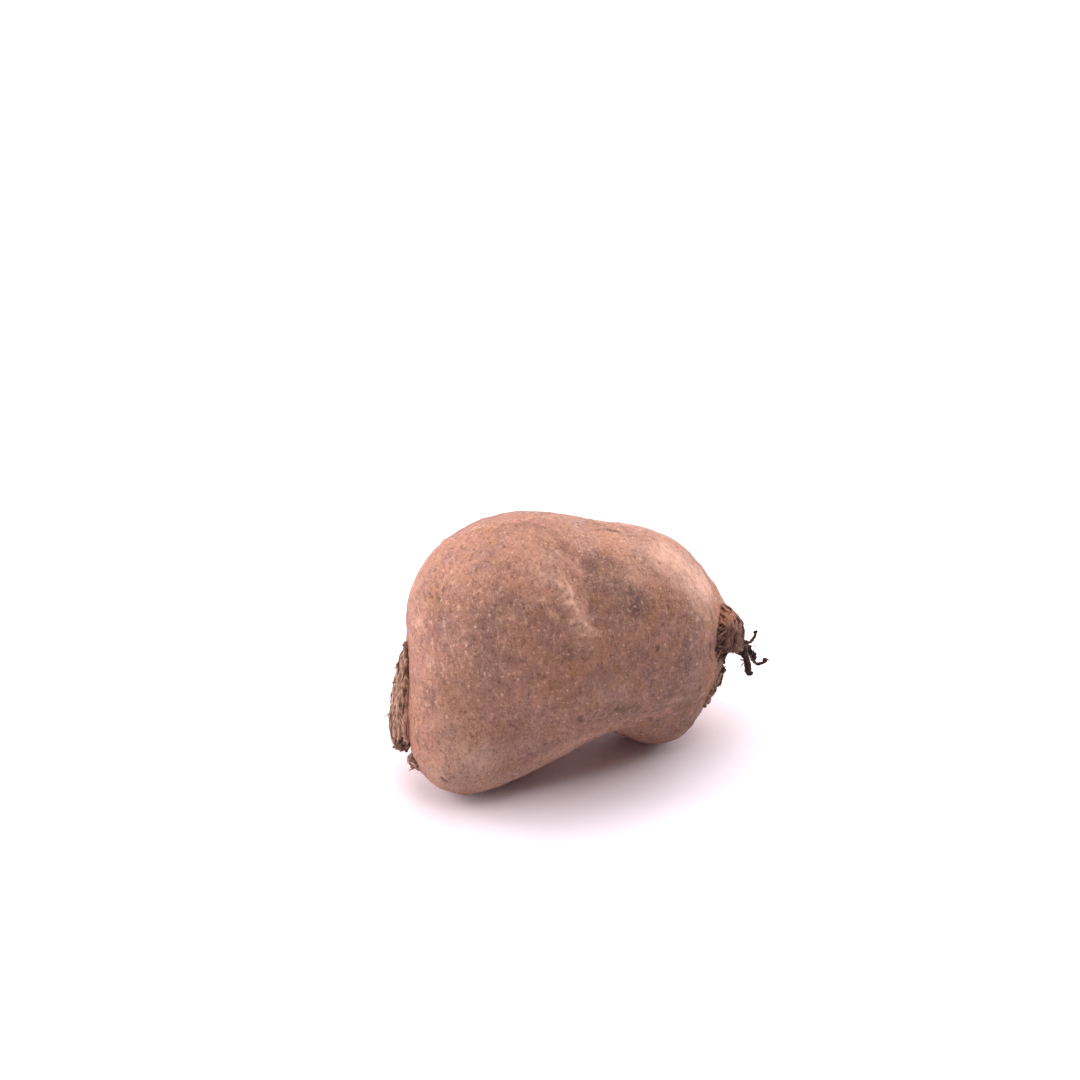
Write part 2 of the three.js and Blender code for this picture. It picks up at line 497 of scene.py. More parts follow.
@dataclass(frozen=True)
class FloorFinish:
    """A plain pale table that turns white where nothing shades it, and farther out all over.

    The camera sees it brightened by boost up to near metres from the middle, and by far_boost from far on.
    """

    colour: Colour = (0.89, 0.905, 0.94)
    lift: Colour = (1.0, 0.963, 1.0)
    boost: float = 1.24
    far_boost: float = 9.0
    near: float = 0.14
    far: float = 0.60

    def make(self) -> bpy.types.Material:
        """Make the material.

        Returns:
            The material, brighter for what the camera sees directly, in a mirror or through glass.
        """
        graph = NodeGraph("table_top")
        path = graph.add("LightPath", {}).outputs
        seen = graph.combine("MAXIMUM", path["Is Camera Ray"], path["Is Glossy Ray"])
        seen = graph.combine("MAXIMUM", seen, path["Is Transmission Ray"])
        reach = graph.add("VectorMath", {0: graph.place}, operation="LENGTH").outputs["Value"]
        boost = graph.span(reach, self.near, self.far, self.boost, self.far_boost)
        bright = graph.add("VectorMath", {0: list(linear(self.lift)[:3]), "Scale": boost}, operation="SCALE")
        colour = graph.blend(seen, self.colour, bright.outputs[0])
        matt = graph.add("BsdfDiffuse", {"Color": colour})
        graph.feed(matt.outputs["BSDF"], graph.output.inputs["Surface"])
        graph.tree.nodes.remove(graph.shader)
        return graph.material


# ---- Working on meshes ----------------------------------------------------------------------------------


def place(node: str, share: Share) -> Vector:
    """A place in a CAD node's box.

    Args:
        node: the node's name.
        share: how far along each side of its box.

    Returns:
        The point, in metres.
    """
    low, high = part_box(node)
    return Vector([a + (b - a) * s for a, b, s in zip(low, high, share)])


def ease(value: float) -> float:
    """A smooth step from 0 to 1."""
    value = min(max(value, 0.0), 1.0)
    return value * value * (3 - 2 * value)


def clouds(point: Vector, size: float, octaves: int = 3, seed: float = 0.0) -> float:
    """Fractal noise at a point.

    Args:
        point: where, in metres.
        size: the size of the largest lumps, in millimetres.
        octaves: how many layers it has.
        seed: moves the pattern elsewhere.

    Returns:
        A value from about -1 to 1.
    """
    spot = point / (size * MM) + Vector((seed, seed * 1.7, -seed))
    return noise.fractal(spot, NOISE_FADE, NOISE_STEP, octaves, noise_basis="PERLIN_ORIGINAL")


@dataclass(frozen=True)
class Unevenness:
    """Something that wanders from place to place: by how much, over which size in mm, and in which noise."""

    amount: float
    size: float
    octaves: int = 3
    seed: float = 0.0

    def at(self, point: Vector) -> float:
        """Its value at a point."""
        return self.amount * clouds(point, self.size, self.octaves, self.seed)


def pick(rng: random.Random, span: Span) -> float:
    """A number out of a range, with no draw where the range is a single number."""
    low, high = span
    return low if low == high else rng.uniform(low, high)


def scattered(rng: random.Random, reach: float) -> Vector:
    """A random step of up to reach along each axis."""
    return Vector([rng.uniform(-reach, reach) for _ in range(3)])


def turned(degrees: float, axis: Vector, start: Vector) -> Vector:
    """A direction turned about an axis."""
    return Matrix.Rotation(math.radians(degrees), 3, axis) @ start


def node_copy(node: str) -> bmesh.types.BMesh:
    """Copy a CAD node's mesh and merge its loose triangles.

    Args:
        node: the node's name.

    Returns:
        The copy.
    """
    bm = bmesh.new()
    bm.from_mesh(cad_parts[node].data)
    bmesh.ops.remove_doubles(bm, verts=bm.verts, dist=SAME_POINT)
    return bm


def surface_of(piece: bpy.types.Object) -> BVHTree:
    """Read a finished piece's surface, to lay things on.

    Args:
        piece: the piece.

    Returns:
        The surface, to be searched for its nearest points.
    """
    bm = bmesh.new()
    bm.from_mesh(piece.data)
    surface = BVHTree.FromBMesh(bm)
    bm.free()
    return surface


def to_mesh(bm: bmesh.types.BMesh, name: str) -> bpy.types.Mesh:
    """Write a bmesh into a new mesh and free it.

    Args:
        bm: the bmesh.
        name: the mesh's name.

    Returns:
        The mesh.
    """
    mesh = bpy.data.meshes.new(name)
    bm.to_mesh(mesh)
    bm.free()
    return mesh


def refined(bm: bmesh.types.BMesh, voxel: float, rounds: int = 2) -> bmesh.types.BMesh:
    """Round a coarse solid off and give it a fine, even skin.

    Args:
        bm: the coarse solid, which is freed.
        voxel: the size of its new faces, in millimetres.
        rounds: how often it is subdivided first.

    Returns:
        The fine solid.
    """
    coarse = to_mesh(bm, "coarse")
    holder = bpy.data.objects.new("coarse", coarse)
    bpy.context.scene.collection.objects.link(holder)
    rounder = holder.modifiers.new("round", "SUBSURF")
    rounder.levels = rounder.render_levels = rounds
    even = holder.modifiers.new("even", "REMESH")
    even.mode = "VOXEL"
    even.voxel_size = voxel * MM
    graph = bpy.context.evaluated_depsgraph_get()
    fine = bmesh.new()
    fine.from_object(holder, graph)
    bpy.data.objects.remove(holder)
    bpy.data.meshes.remove(coarse)
    return fine


def smooth(bm: bmesh.types.BMesh, times: int) -> None:
    """Even out a mesh's small steps.

    Args:
        bm: the mesh.
        times: how often it is smoothed.
    """
    every_axis = {"use_axis_x": True, "use_axis_y": True, "use_axis_z": True}
    for _ in range(times):
        bmesh.ops.smooth_vert(bm, verts=bm.verts, factor=0.5, **every_axis)


def write_attribute(mesh: bpy.types.Mesh, name: str, values: Sequence[float]) -> None:
    """Store one number for each point of a mesh."""
    mesh.attributes.new(name, "FLOAT", "POINT").data.foreach_set("value", values)


def sweep(bm: bmesh.types.BMesh, route: Sequence[Vector], radii: Sequence[float], sides: int = 6,
          flat: float = 1.0, across: Vector = UP) -> None:
    """Pull a round or flattened section along a route and close both ends.

    Args:
        bm: the mesh that it is added to.
        route: the points that it follows, in metres.
        radii: the section's half-width at each point, in metres.
        sides: how many sides the section has.
        flat: its thickness as a share of its width.
        across: the way that a flattened section faces.
    """
    def pose(index: int) -> Matrix:
        """Where the section stands at one point of the route.

        Args:
            index: the point's number.

        Returns:
            The section's place, turn and size.
        """
        ahead = route[min(index + 1, len(route) - 1)] - route[max(index - 1, 0)]
        forward = ahead.normalized()
        side = forward.cross(across)
        side = (side if side.length > 1e-6 else forward.orthogonal()).normalized()
        thick = side.cross(forward)
        turn = Matrix((side, thick, forward)).transposed().to_4x4()
        size = Matrix.Diagonal((radii[index], radii[index] * flat, 1, 1))
        return Matrix.Translation(route[index]) @ turn @ size

    made = bmesh.ops.create_circle(bm, cap_ends=True, radius=1.0, segments=sides)["verts"]
    cap = next(iter(made[0].link_faces))
    bmesh.ops.reverse_faces(bm, faces=[cap])
    bmesh.ops.transform(bm, matrix=pose(0), verts=made)
    ring = list(cap.edges)
    for index in range(1, len(route)):
        pulled = bmesh.ops.extrude_edge_only(bm, edges=ring)["geom"]
        points = [part for part in pulled if isinstance(part, bmesh.types.BMVert)]
        ring = [part for part in pulled if isinstance(part, bmesh.types.BMEdge)]
        bmesh.ops.transform(bm, matrix=pose(index) @ pose(index - 1).inverted(), verts=points)
    bmesh.ops.contextual_create(bm, geom=ring)


def curve_through(points: Sequence[Vector], steps: int) -> list[Vector]:
    """Points on a smooth curve.

    Args:
        points: two or more places that the curve passes through.
        steps: how many parts it is cut into.

    Returns:
        One point more than there are parts.
    """
    held = [points[0] * 2 - points[1], *points, points[-1] * 2 - points[-2]]
    result = []
    for step in range(steps + 1):
        along = step / steps * (len(points) - 1)
        index = min(int(along), len(points) - 2)
        t = along - index
        a, b, c, d = held[index:index + 4]
        # A Catmull-Rom spline between the two middle ones of four places.
        bend = (b * 2 + (c - a) * t + (a * 2 - b * 5 + c * 4 - d) * t ** 2
                + (b * 3 - a - c * 3 + d) * t ** 3)
        result.append(bend * 0.5)
    return result


def show(name: str, mesh: bpy.types.Mesh, material: bpy.types.Material,
         node: str) -> bpy.types.Object:
    """Put a finished mesh in the scene as a piece that rides on the tuber.

    Args:
        name: the piece's name.
        mesh: its mesh.
        material: its finish.
        node: the CAD node that it stands for.

    Returns:
        The piece.
    """
    mesh.shade_smooth()
    mesh.materials.append(material)
    piece = bpy.data.objects.new(name, mesh)
    bpy.context.scene.collection.objects.link(piece)
    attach(piece, BODY)
    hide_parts(node)
    log.info("%s: %d faces", name, len(mesh.polygons))
    return piece


# ---- The tuber ------------------------------------------------------------------------------------------


@dataclass(frozen=True)
class Mark:
    """A spot on the skin, or a streak that runs through a few places on it.

    through holds its places as shares of the tuber's box, width is its half-width, and lift is how far its
    middle stands out, or is pressed in where that is negative. wobble is how ragged its border is.
    """

    through: tuple[Share, ...]
    width: float
    lift: float = 0.0
    tint: Tint | None = None
    strength: float = 0.0
    profile: Profile = Profile.SOFT
    wobble: float = 0.35


@dataclass(frozen=True)
class Speckle:
    """A kind of small mark that is scattered over the skin, with the ranges that its sizes are drawn from."""

    count: int
    width: Span
    lift: Span
    strength: Span
    tints: tuple[Tint, ...] = (Tint.SOIL,)
    profile: Profile = Profile.SOFT

    def draw(self, rng: random.Random) -> Mark:
        """Draw one such mark, with no place of its own.

        Args:
            rng: the random draws.

        Returns:
            The mark.
        """
        tint = rng.choice(self.tints) if len(self.tints) > 1 else self.tints[0]
        return Mark((), pick(rng, self.width), pick(rng, self.lift), tint, pick(rng, self.strength),
                    self.profile)


def patches(tint: Tint, *rows: tuple[float, float, tuple[Share, ...]]) -> tuple[Mark, ...]:
    """Marks that only tint the skin.

    Args:
        tint: what they are.
        rows: the half-width, the strength and the places of each one.

    Returns:
        The marks.
    """
    return tuple(Mark(through, width, 0.0, tint, strength) for width, strength, through in rows)


CREST: tuple[Share, ...] = (
    (.36, .33, .965), (.395, .29, .95), (.442, .24, .905), (.452, .20, .875), (.463, .145, .825),
    (.487, .12, .79),
)

SKIN_MARKS: tuple[Mark, ...] = (
    # The crest along the near lobe's flank, raised and lightened with a painted highlight,
    # and the crease beside it, pressed in and darkened with painted shade.
    Mark(((.398, .368, .978), (.427, .231, .911), (.471, .096, .774)), 4.6, 0.4, Tint.PALE, .18, wobble=0.2),
    Mark(CREST, 2.6, 0.14, Tint.PALE, .28, wobble=0.9),
    Mark(((.49, .423, .953), (.535, .345, .907), (.527, .207, .842), (.513, .089, .748)), 3.2, -0.35,
         Tint.STAIN_AND_SHADE, .28),
    # Grey-mauve stains on the two lobes and on the nose, some of them painted shade.
    *patches(
        Tint.STAIN_AND_SHADE,
        # Partly stain and partly painted shade, on the right lobe's flank that faces the hollow between the
        # lobes.
        (5.5, .68, ((.573, .356, .903), (.619, .233, .853), (.65, .20, .83))),
        (7.0, .42, ((.30, .20, .86), (.26, .17, .80), (.24, .13, .66))),
        (5.0, .45, ((.26, .27, .90), (.22, .24, .85))),
        (8.0, .38, ((.164, .30, .82), (.12, .35, .78))),
        (6.0, .42, ((.28, .055, .46), (.275, .066, .40))),
        (3.4, .50, ((.42, .064, .746), (.45, .08, .755))),
        (6.5, .38, ((.20, .18, .74), (.18, .13, .55))),
        (5.0, .45, ((.59, .13, .79), (.63, .18, .83))),
        (6.0, .32, ((.74, .09, .54), (.72, .076, .40))),
        # Painted shade under the fold, low on the belly.
        (5.0, .62, ((.55, .03, .45), (.62, .04, .42))),
        # Partly stain and partly painted shade, on the right side.
        (7.0, .55, ((.79, .12, .53), (.80, .14, .38))),
        (3.5, .50, ((.935, .35, .66), (.92, .30, .58))),
        # Painted shade low on the nose foot, next to the table.
        (6.5, .75, ((.86, .21, .24), (.84, .22, .10))),
    ),
    Mark(((.87, .17, .52), (.86, .17, .38), (.80, .14, .30)), 4.5, 0, Tint.SOIL, .22),
    Mark(((.88, .18, .48), (.865, .18, .34)), 4.0, 0, Tint.RUST, .50),
    # Places where the skin is rubbed pale. On the right shoulder and the right lobe's top they are partly a
    # painted highlight, and low on the front left partly painted light.
    *patches(
        Tint.PALE,
        (6.5, .85, ((.78, .38, .87), (.865, .307, .756))),
        (8.0, .35, ((.79, .365, .85), (.865, .30, .75))),
        (6.5, .45, ((.70, .40, .90), (.67, .30, .88))),
        (5.5, .30, ((.58, .55, .94), (.66, .52, .92))),
        (5.0, .25, ((.085, .18, .40), (.15, .12, .44))),
        (5.0, .50, ((.20, .10, .10), (.30, .09, .14), (.38, .08, .20), (.44, .09, .27))),
        (5.0, .30, ((.30, .07, .33),)),
        (5.0, .30, ((.10, .12, .33), (.18, .07, .30))),
        (8.5, .16, ((.22, .50, .93), (.34, .50, .98))),
        (9.0, .48, ((.06, .15, .18), (.135, .095, .27))),
        (6.0, .30, ((.50, .02, .54), (.55, .03, .54))),
    ),
    # Painted highlights on the left shoulder, each on a slight bump.
    Mark(((.075, .45, .71),), 2.4, 0.1, Tint.PALE, .60),
    Mark(((.10, .34, .60),), 2.6, 0.1, Tint.PALE, .45),
    # Rusty patches.
    Mark(((.435, .336, .96),), 2.6, 0, Tint.RUST, .6),
    Mark(((.432, .318, .955),), 1.3, 0.12, Tint.SOIL, .45, Profile.RING),
    Mark(((.515, .21, .85), (.51, .18, .83)), 1.3, -0.12, Tint.SOIL, .40, wobble=0.8),
    *patches(
        Tint.RUST,
        (3.5, .5, ((.62, .56, .92), (.66, .50, .92))),
        (4.0, .4, ((.36, .04, .60), (.42, .035, .56))),
        (3.5, .55, ((.906, .279, .641), (.93, .32, .72))),
        (4.2, .95, ((.84, .52, .84), (.90, .45, .74), (.945, .40, .63), (.93, .32, .58))),
    ),
    Mark(((.88, .49, .78), (.92, .43, .70), (.945, .38, .62)), 3.2, 0, Tint.SOIL, .32, wobble=0.7),
    Mark(((.925, .32, .66), (.935, .31, .58), (.92, .27, .50)), 2.6, 0, Tint.SOIL, .30, wobble=0.7),
    Mark(((.93, .32, .60), (.90, .22, .50), (.875, .18, .42)), 2.6, 0, Tint.RUST, .75),
    # Pits and slits that stand out among the rest.
    Mark(((.551, .021, .456),), 0.9, -0.35, Tint.SOIL, .7),
    Mark(((.441, .008, .452), (.445, .008, .43)), 1.0, -0.35, Tint.SOIL, .6),
    Mark(((.18, .079, .317),), 1.2, -0.3, Tint.STAIN_AND_SHADE, .8),
    Mark(((.079, .258, .482),), 1.3, -0.3, Tint.STAIN_AND_SHADE, .6),
    Mark(((.059, .147, .174), (.07, .13, .15)), 0.6, -0.35, Tint.SOIL, .9),
    Mark(((.639, .59, .907), (.677, .558, .908)), 0.55, -0.3, Tint.SOIL, .9),
    Mark(((.52, .185, .83),), 1.8, 0.15, Tint.STAIN_AND_SHADE, .4),
    Mark(((.10, .54, .79), (.115, .50, .78)), 0.5, -0.25, Tint.SOIL, .6),
    Mark(((.12, .50, .80), (.13, .47, .79)), 0.5, -0.25, Tint.SOIL, .6),
    Mark(((.14, .46, .81), (.15, .44, .79)), 0.6, -0.2, Tint.STAIN_AND_SHADE, .8),
    # Dark crust that runs down from the stub.
    Mark(((.925, .29, .46), (.905, .25, .40), (.87, .26, .25)), 3.2, 0.12, Tint.SOIL, .75, wobble=0.6),
    Mark(((.925, .27, .46), (.90, .23, .40), (.865, .24, .25)), 4.0, 0, Tint.RUST, .85),
    Mark(((.90, .44, .59), (.895, .34, .61), (.90, .26, .58)), 3.0, 0.2, Tint.RUST, .85),
    Mark(((.905, .245, .52), (.90, .25, .44)), 2.4, 0.2, Tint.SOIL, .60, wobble=0.6),
    # Mauve clouds, and rubbed and scabbed places, on the far side and the ends.
    *patches(
        Tint.STAIN_AND_SHADE,
        (9.0, .45, ((.28, .92, .72), (.40, .97, .62))),
        (9.0, .45, ((.62, .90, .64), (.72, .86, .50))),
        (8.0, .40, ((.50, .95, .35), (.42, .93, .25))),
        (8.0, .42, ((.20, .85, .42), (.14, .75, .30))),
        (7.0, .42, ((.84, .72, .50), (.80, .70, .30))),
        (7.0, .32, ((.40, .80, .93), (.30, .78, .90))),
        (7.0, .35, ((.08, .60, .58), (.02, .50, .45))),
    ),
    Mark(((.55, .92, .58), (.48, .95, .48)), 6.0, 0, Tint.RUST, .40),
    Mark(((.24, .90, .58),), 5.0, 0, Tint.PALE, .30),
    Mark(((.38, .93, .62), (.42, .95, .59)), 2.6, -0.1, Tint.PALE, .55, wobble=0.8),
    Mark(((.70, .86, .55), (.73, .84, .50)), 2.6, 0.12, Tint.SOIL, .6, wobble=0.8),
    Mark(((.55, .90, .80), (.60, .93, .62)), 1.2, -0.25, Tint.STAIN_AND_SHADE, .5),
    Mark(((.12, .72, .40), (.16, .78, .34)), 2.4, 0.1, Tint.RUST, .7, wobble=0.8),
    # The fold above the nose foot.
    Mark(((.709, .076, .403), (.78, .11, .36), (.841, .168, .323)), 1.6, 0.3, Tint.PALE, .25),
)


class SkinField:
    """The fine skin while it is worked on: what moves each point, and how each point is tinted."""

    # A route is followed in steps of this share of a mark's reach.
    STRIDE = 0.25
    # The size of a mark's ragged bends and the least that is left of it there, as shares of its width.
    WOBBLE_SIZE, LEAST_WIDTH = 0.9, 0.2
    # A ring mark rises to a rim and drops to a hollow, at these shares of the way in to its middle.
    RIM_RISE, RIM_TOP = 1.6, 0.5
    HOLLOW_DROP, HOLLOW_START, HOLLOW_RUN = 2.4, 0.45, 0.55

    def __init__(self, bm: bmesh.types.BMesh) -> None:
        """Read the smooth skin.

        Args:
            bm: the fine, smooth skin.
        """
        bm.normal_update()
        bm.verts.ensure_lookup_table()
        self.points = [vert.co.copy() for vert in bm.verts]
        self.normals = [vert.normal.copy() for vert in bm.verts]
        self.lift = [0.0] * len(self.points)
        self.tints = {tint: [0.0] * len(self.points) for tint in Tint}
        self.surface = BVHTree.FromBMesh(bm)
        self.tree = KDTree(len(self.points))
        for index, point in enumerate(self.points):
            self.tree.insert(point, index)
        self.tree.balance()

    def snapped(self, point: Vector) -> Vector:
        """The nearest point of the skin."""
        return self.surface.find_nearest(point)[0]

    def near(self, route: Sequence[Vector], reach: float) -> dict[int, float]:
        """How far the skin's points are from a route on it.

        Args:
            route: the places that it runs through.
            reach: points farther than this, in metres, are left out.

        Returns:
            The distance by the point's index.
        """
        distances: dict[int, float] = {}
        spots = [self.snapped(route[0])]
        for start, end in zip(route, route[1:]):
            count = max(int((end - start).length / (reach * self.STRIDE)), 1)
            spots += [self.snapped(start.lerp(end, step / count)) for step in range(1, count + 1)]
        for spot in spots:
            for _, index, distance in self.tree.find_range(spot, reach):
                if distance < distances.get(index, reach):
                    distances[index] = distance
        return distances

    def press(self, mark: Mark, route: Sequence[Vector]) -> None:
        """Work a mark into the skin.

        Args:
            mark: the mark.
            route: its places, in metres.
        """
        reach = mark.width * MM * (1 + mark.wobble)
        for index, distance in self.near(route, reach).items():
            wander = clouds(self.points[index], mark.width * self.WOBBLE_SIZE, 3, 4.0)
            ragged = max(1 + mark.wobble * wander, self.LEAST_WIDTH)
            inside = 1 - distance / (mark.width * MM * ragged)
            if inside <= 0:
                continue
            share = lift = ease(inside)
            if mark.profile is Profile.RING:
                hollow = ease((inside - self.HOLLOW_START) / self.HOLLOW_RUN)
                lift = self.RIM_RISE * ease(inside / self.RIM_TOP) - self.HOLLOW_DROP * hollow
            self.lift[index] += mark.lift * MM * lift
            if mark.tint is not None:
                values = self.tints[mark.tint]
                values[index] = min(1.0, values[index] + mark.strength * share)

    def each(self, height: Callable[[Vector], float]) -> None:
        """Add a height to every point.

        Args:
            height: gives the height at a point, in millimetres.
        """
        for index, point in enumerate(self.points):
            self.lift[index] += height(point) * MM

    def apply(self, bm: bmesh.types.BMesh) -> None:
        """Move the skin's points, none of them through the table.

        Args:
            bm: the skin.
        """
        for vert, normal, lift in zip(bm.verts, self.normals, self.lift):
            vert.co += normal * lift
            vert.co.z = max(vert.co.z, 0.0)


@dataclass
class Tuber:
    """The tuber: the CAD solid with a fine skin, its lumps and wrinkles, and the marks that it bears."""

    node: str = "tuber"
    voxel: float = 0.395
    smoothing: int = 5
    lumps: tuple[Unevenness, ...] = (
        Unevenness(0.40, 15.0, 3, 15.0),
        Unevenness(0.20, 5.5, 3, 5.5),
        Unevenness(0.075, 1.9, 3, 1.9),
        Unevenness(0.05, 0.8, 3, 0.8),
    )
    rings: Unevenness = Unevenness(0.07, 0.9, 2, 8.0)
    rings_squeeze: float = 0.2
    rings_start: float = 0.5
    rings_run: float = 0.4
    marks: tuple[Mark, ...] = SKIN_MARKS
    warts: Speckle = Speckle(170, (0.45, 0.95), (0.06, 0.16), (0.3, 0.7),
                             (Tint.PALE, Tint.STAIN_AND_SHADE, Tint.STAIN_AND_SHADE, Tint.RUST, Tint.RUST))
    crest_flecks: Speckle = Speckle(60, (0.45, 1.0), (0.03, 0.1), (0.3, 0.65),
                                    (Tint.PALE, Tint.PALE, Tint.PALE, Tint.RUST, Tint.STAIN_AND_SHADE))
    crest_steps: int = 24
    crest_stray: float = 1.0
    scars: Speckle = Speckle(22, (0.8, 1.4), (0.05, 0.1), (0.6, 0.6), (Tint.STAIN_AND_SHADE,), Profile.RING)
    pits: Speckle = Speckle(150, (0.35, 0.8), (-0.08, -0.25), (0.2, 0.65))
    cracks: Speckle = Speckle(60, (0.3, 0.5), (-0.06, -0.18), (0.2, 0.6))
    crack_half: Span = (0.3, 1.1)
    crack_kink: float = 0.5
    crack_slant: float = 0.4
    crack_least: float = 0.3
    seed: int = 11

    def build(self, material: bpy.types.Material) -> bpy.types.Object:
        """Build the tuber.

        Args:
            material: the skin's finish.

        Returns:
            The piece.
        """
        self.low, self.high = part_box(self.node)
        bm = refined(node_copy(self.node), self.voxel)
        smooth(bm, self.smoothing)
        skin = SkinField(bm)
        skin.each(self.relief)
        for mark in self.marks:
            skin.press(mark, [place(self.node, share) for share in mark.through])
        self.scatter(skin)
        skin.apply(bm)
        mesh = to_mesh(bm, self.node)
        for tint, values in skin.tints.items():
            write_attribute(mesh, tint.value, values)
        return show("tuber_skin", mesh, material, self.node)

    def relief(self, point: Vector) -> float:
        """The height of the skin's lumps and wrinkles.

        Args:
            point: where, in metres.

        Returns:
            The height of its lumps, and of the fine rings towards its ends, in millimetres.
        """
        off_middle = abs((point.x - self.low.x) / (self.high.x - self.low.x) * 2 - 1)
        squeezed = Vector((point.x, point.y * self.rings_squeeze, point.z * self.rings_squeeze))
        rings = ease((off_middle - self.rings_start) / self.rings_run) * self.rings.at(squeezed)
        return rings + sum(lump.at(point) for lump in self.lumps)

    def scatter(self, skin: SkinField) -> None:
        """Work the small random marks into the skin: corky warts, flecks, scars, pits and short cracks.

        Args:
            skin: the skin.
        """
        rng = random.Random(self.seed)
        self.sprinkle(skin, rng, self.warts)
        crest = curve_through([place(self.node, share) for share in CREST], self.crest_steps)
        for _ in range(self.crest_flecks.count):
            spot = rng.choice(crest)
            stray = Vector([rng.gauss(0, self.crest_stray) for _ in range(3)])
            skin.press(self.crest_flecks.draw(rng), [spot + stray * MM])
        self.sprinkle(skin, rng, self.scars)
        self.sprinkle(skin, rng, self.pits)
        slant = self.crack_slant
        for _ in range(self.cracks.count):
            index = rng.randrange(len(skin.points))
            spot, normal = skin.points[index], skin.normals[index]
            along = normal.cross(Vector((1, rng.uniform(-slant, slant), rng.uniform(-slant, slant))))
            if along.length < self.crack_least:
                # The skin faces along X here, so the crack would have no clear way to run.
                continue
            half = along.normalized() * pick(rng, self.crack_half) * MM
            side = rng.uniform(-self.crack_kink, self.crack_kink)
            kink = along.cross(normal).normalized() * side * MM
            skin.press(self.cracks.draw(rng), [spot - half, spot + kink, spot + half])

    def sprinkle(self, skin: SkinField, rng: random.Random, kind: Speckle) -> None:
        """Scatter one kind of small mark evenly over the skin.

        Args:
            skin: the skin.
            rng: the random draws.
            kind: the kind of mark.
        """
        for _ in range(kind.count):
            spot = rng.choice(skin.points)
            skin.press(kind.draw(rng), [spot])


# ---- What clings to the tuber ---------------------------------------------------------------------------


@dataclass(frozen=True)
class Strips:
    """A kind of fibre or torn strip: how many there are, and the ranges that their sizes are drawn from.

    width is their half-width and lift how far they stand off, in millimetres. turn is where they start round
    their piece and sweep how far they run on, in degrees. along is where they start along it and drift how
    far they run on. tone is how dark they are, and flat their thickness as a share of their width.
    """

    count: int
    width: Span
    tone: Span = (0.0, 0.0)
    flat: Span = (1.0, 1.0)
    turn: Span = (0.0, 360.0)
    sweep: Span = (0.0, 0.0)
    along: Span = (0.0, 1.0)
    drift: Span = (0.0, 0.0)
    lift: Span = (0.0, 0.0)


@dataclass(frozen=True)
class Crumbs:
    """Crumbs of soil or bark: how many there are, and the ranges that their sizes are drawn from.

    size is about half their width, in millimetres.
    """

    count: int
    size: Span
    tone: Span


class Strands:
    """A bundle of fibres, bark strips and crumbs in one mesh, with a tone for each point."""

    # How much a fibre's tone wanders, and the shares of its length over which its two ends thin out.
    TONE_SPREAD = 0.12
    SWELL_SHARE, THIN_SHARE = 0.15, 0.45
    # How far a crumb is drawn out along each axis, and how rough it is.
    CRUMB_STRETCH: Span = (0.65, 1.3)
    CRUMB_ROUGHNESS = 0.45

    def __init__(self, seed: int, shade: Callable[[Vector], float] = lambda _: 0.0) -> None:
        """Start an empty bundle.

        Args:
            seed: fixes its random draws.
            shade: how much darker it is at a point.
        """
        self.bm = bmesh.new()
        self.rng = random.Random(seed)
        self.shade = shade

    def join(self, part: bmesh.types.BMesh, tone: float, spread: float = 0.0) -> None:
        """Take over another mesh.

        Args:
            part: the mesh, which is freed.
            tone: how dark it is.
            spread: how much the tone wanders from point to point.
        """
        layer = part.verts.layers.float.new("tone")
        for vert in part.verts:
            value = tone + self.shade(vert.co) + self.rng.uniform(-spread, spread)
            vert[layer] = min(max(value, -1), 1)
        mesh = to_mesh(part, "part")
        self.bm.from_mesh(mesh)
        bpy.data.meshes.remove(mesh)

    def fibre(self, points: Sequence[Vector], radius: float, tone: float, flat: float = 1.0,
              across: Vector = UP, steps: int = 10, sides: int = 6, tip: float = 0.25,
              jitter: float = 0.25) -> None:
        """Add a fibre or a strip, thin at its ends and longest drawn out at its last one.

        Args:
            points: the places that it passes through.
            radius: its half-width, in millimetres.
            tone: how dark it is.
            flat: its thickness as a share of its width.
            across: the way that a strip faces.
            steps: how many parts it is cut into.
            sides: how many sides its section has.
            tip: the share of its width that is left at its ends.
            jitter: how much its width wanders.
        """
        route = curve_through(points, steps)
        radii = []
        for step in range(steps + 1):
            along = step / steps
            body = tip + (1 - tip) * ease(min(along / self.SWELL_SHARE, (1 - along) / self.THIN_SHARE))
            radii.append(radius * MM * body * (1 + self.rng.uniform(-jitter, jitter)))
        part = bmesh.new()
        sweep(part, route, radii, sides, flat, across)
        self.join(part, tone, self.TONE_SPREAD)

    def crumb(self, centre: Vector, radius: float, tone: float) -> None:
        """Add a crumb of soil or bark.

        Args:
            centre: its middle.
            radius: about half its size, in millimetres.
            tone: how dark it is.
        """
        turn = Matrix.Rotation(self.rng.uniform(0, math.tau), 4, Vector((1, 1, 1)))
        stretch = [radius * MM * pick(self.rng, self.CRUMB_STRETCH) for _ in range(3)]
        pose = Matrix.Translation(centre) @ turn @ Matrix.Diagonal([*stretch, 1])
        part = bmesh.new()
        bmesh.ops.create_icosphere(part, subdivisions=2, radius=1.0, matrix=pose)
        for vert in part.verts:
            bumps = self.CRUMB_ROUGHNESS * clouds(vert.co, radius * 0.9, 2, tone * 9)
            vert.co += (vert.co - centre) * bumps
        self.join(part, tone)

    def mesh(self, name: str) -> bpy.types.Mesh:
        """The bundle as a mesh, with its faces pointing outwards."""
        bmesh.ops.recalc_face_normals(self.bm, faces=self.bm.faces)
        return to_mesh(self.bm, name)


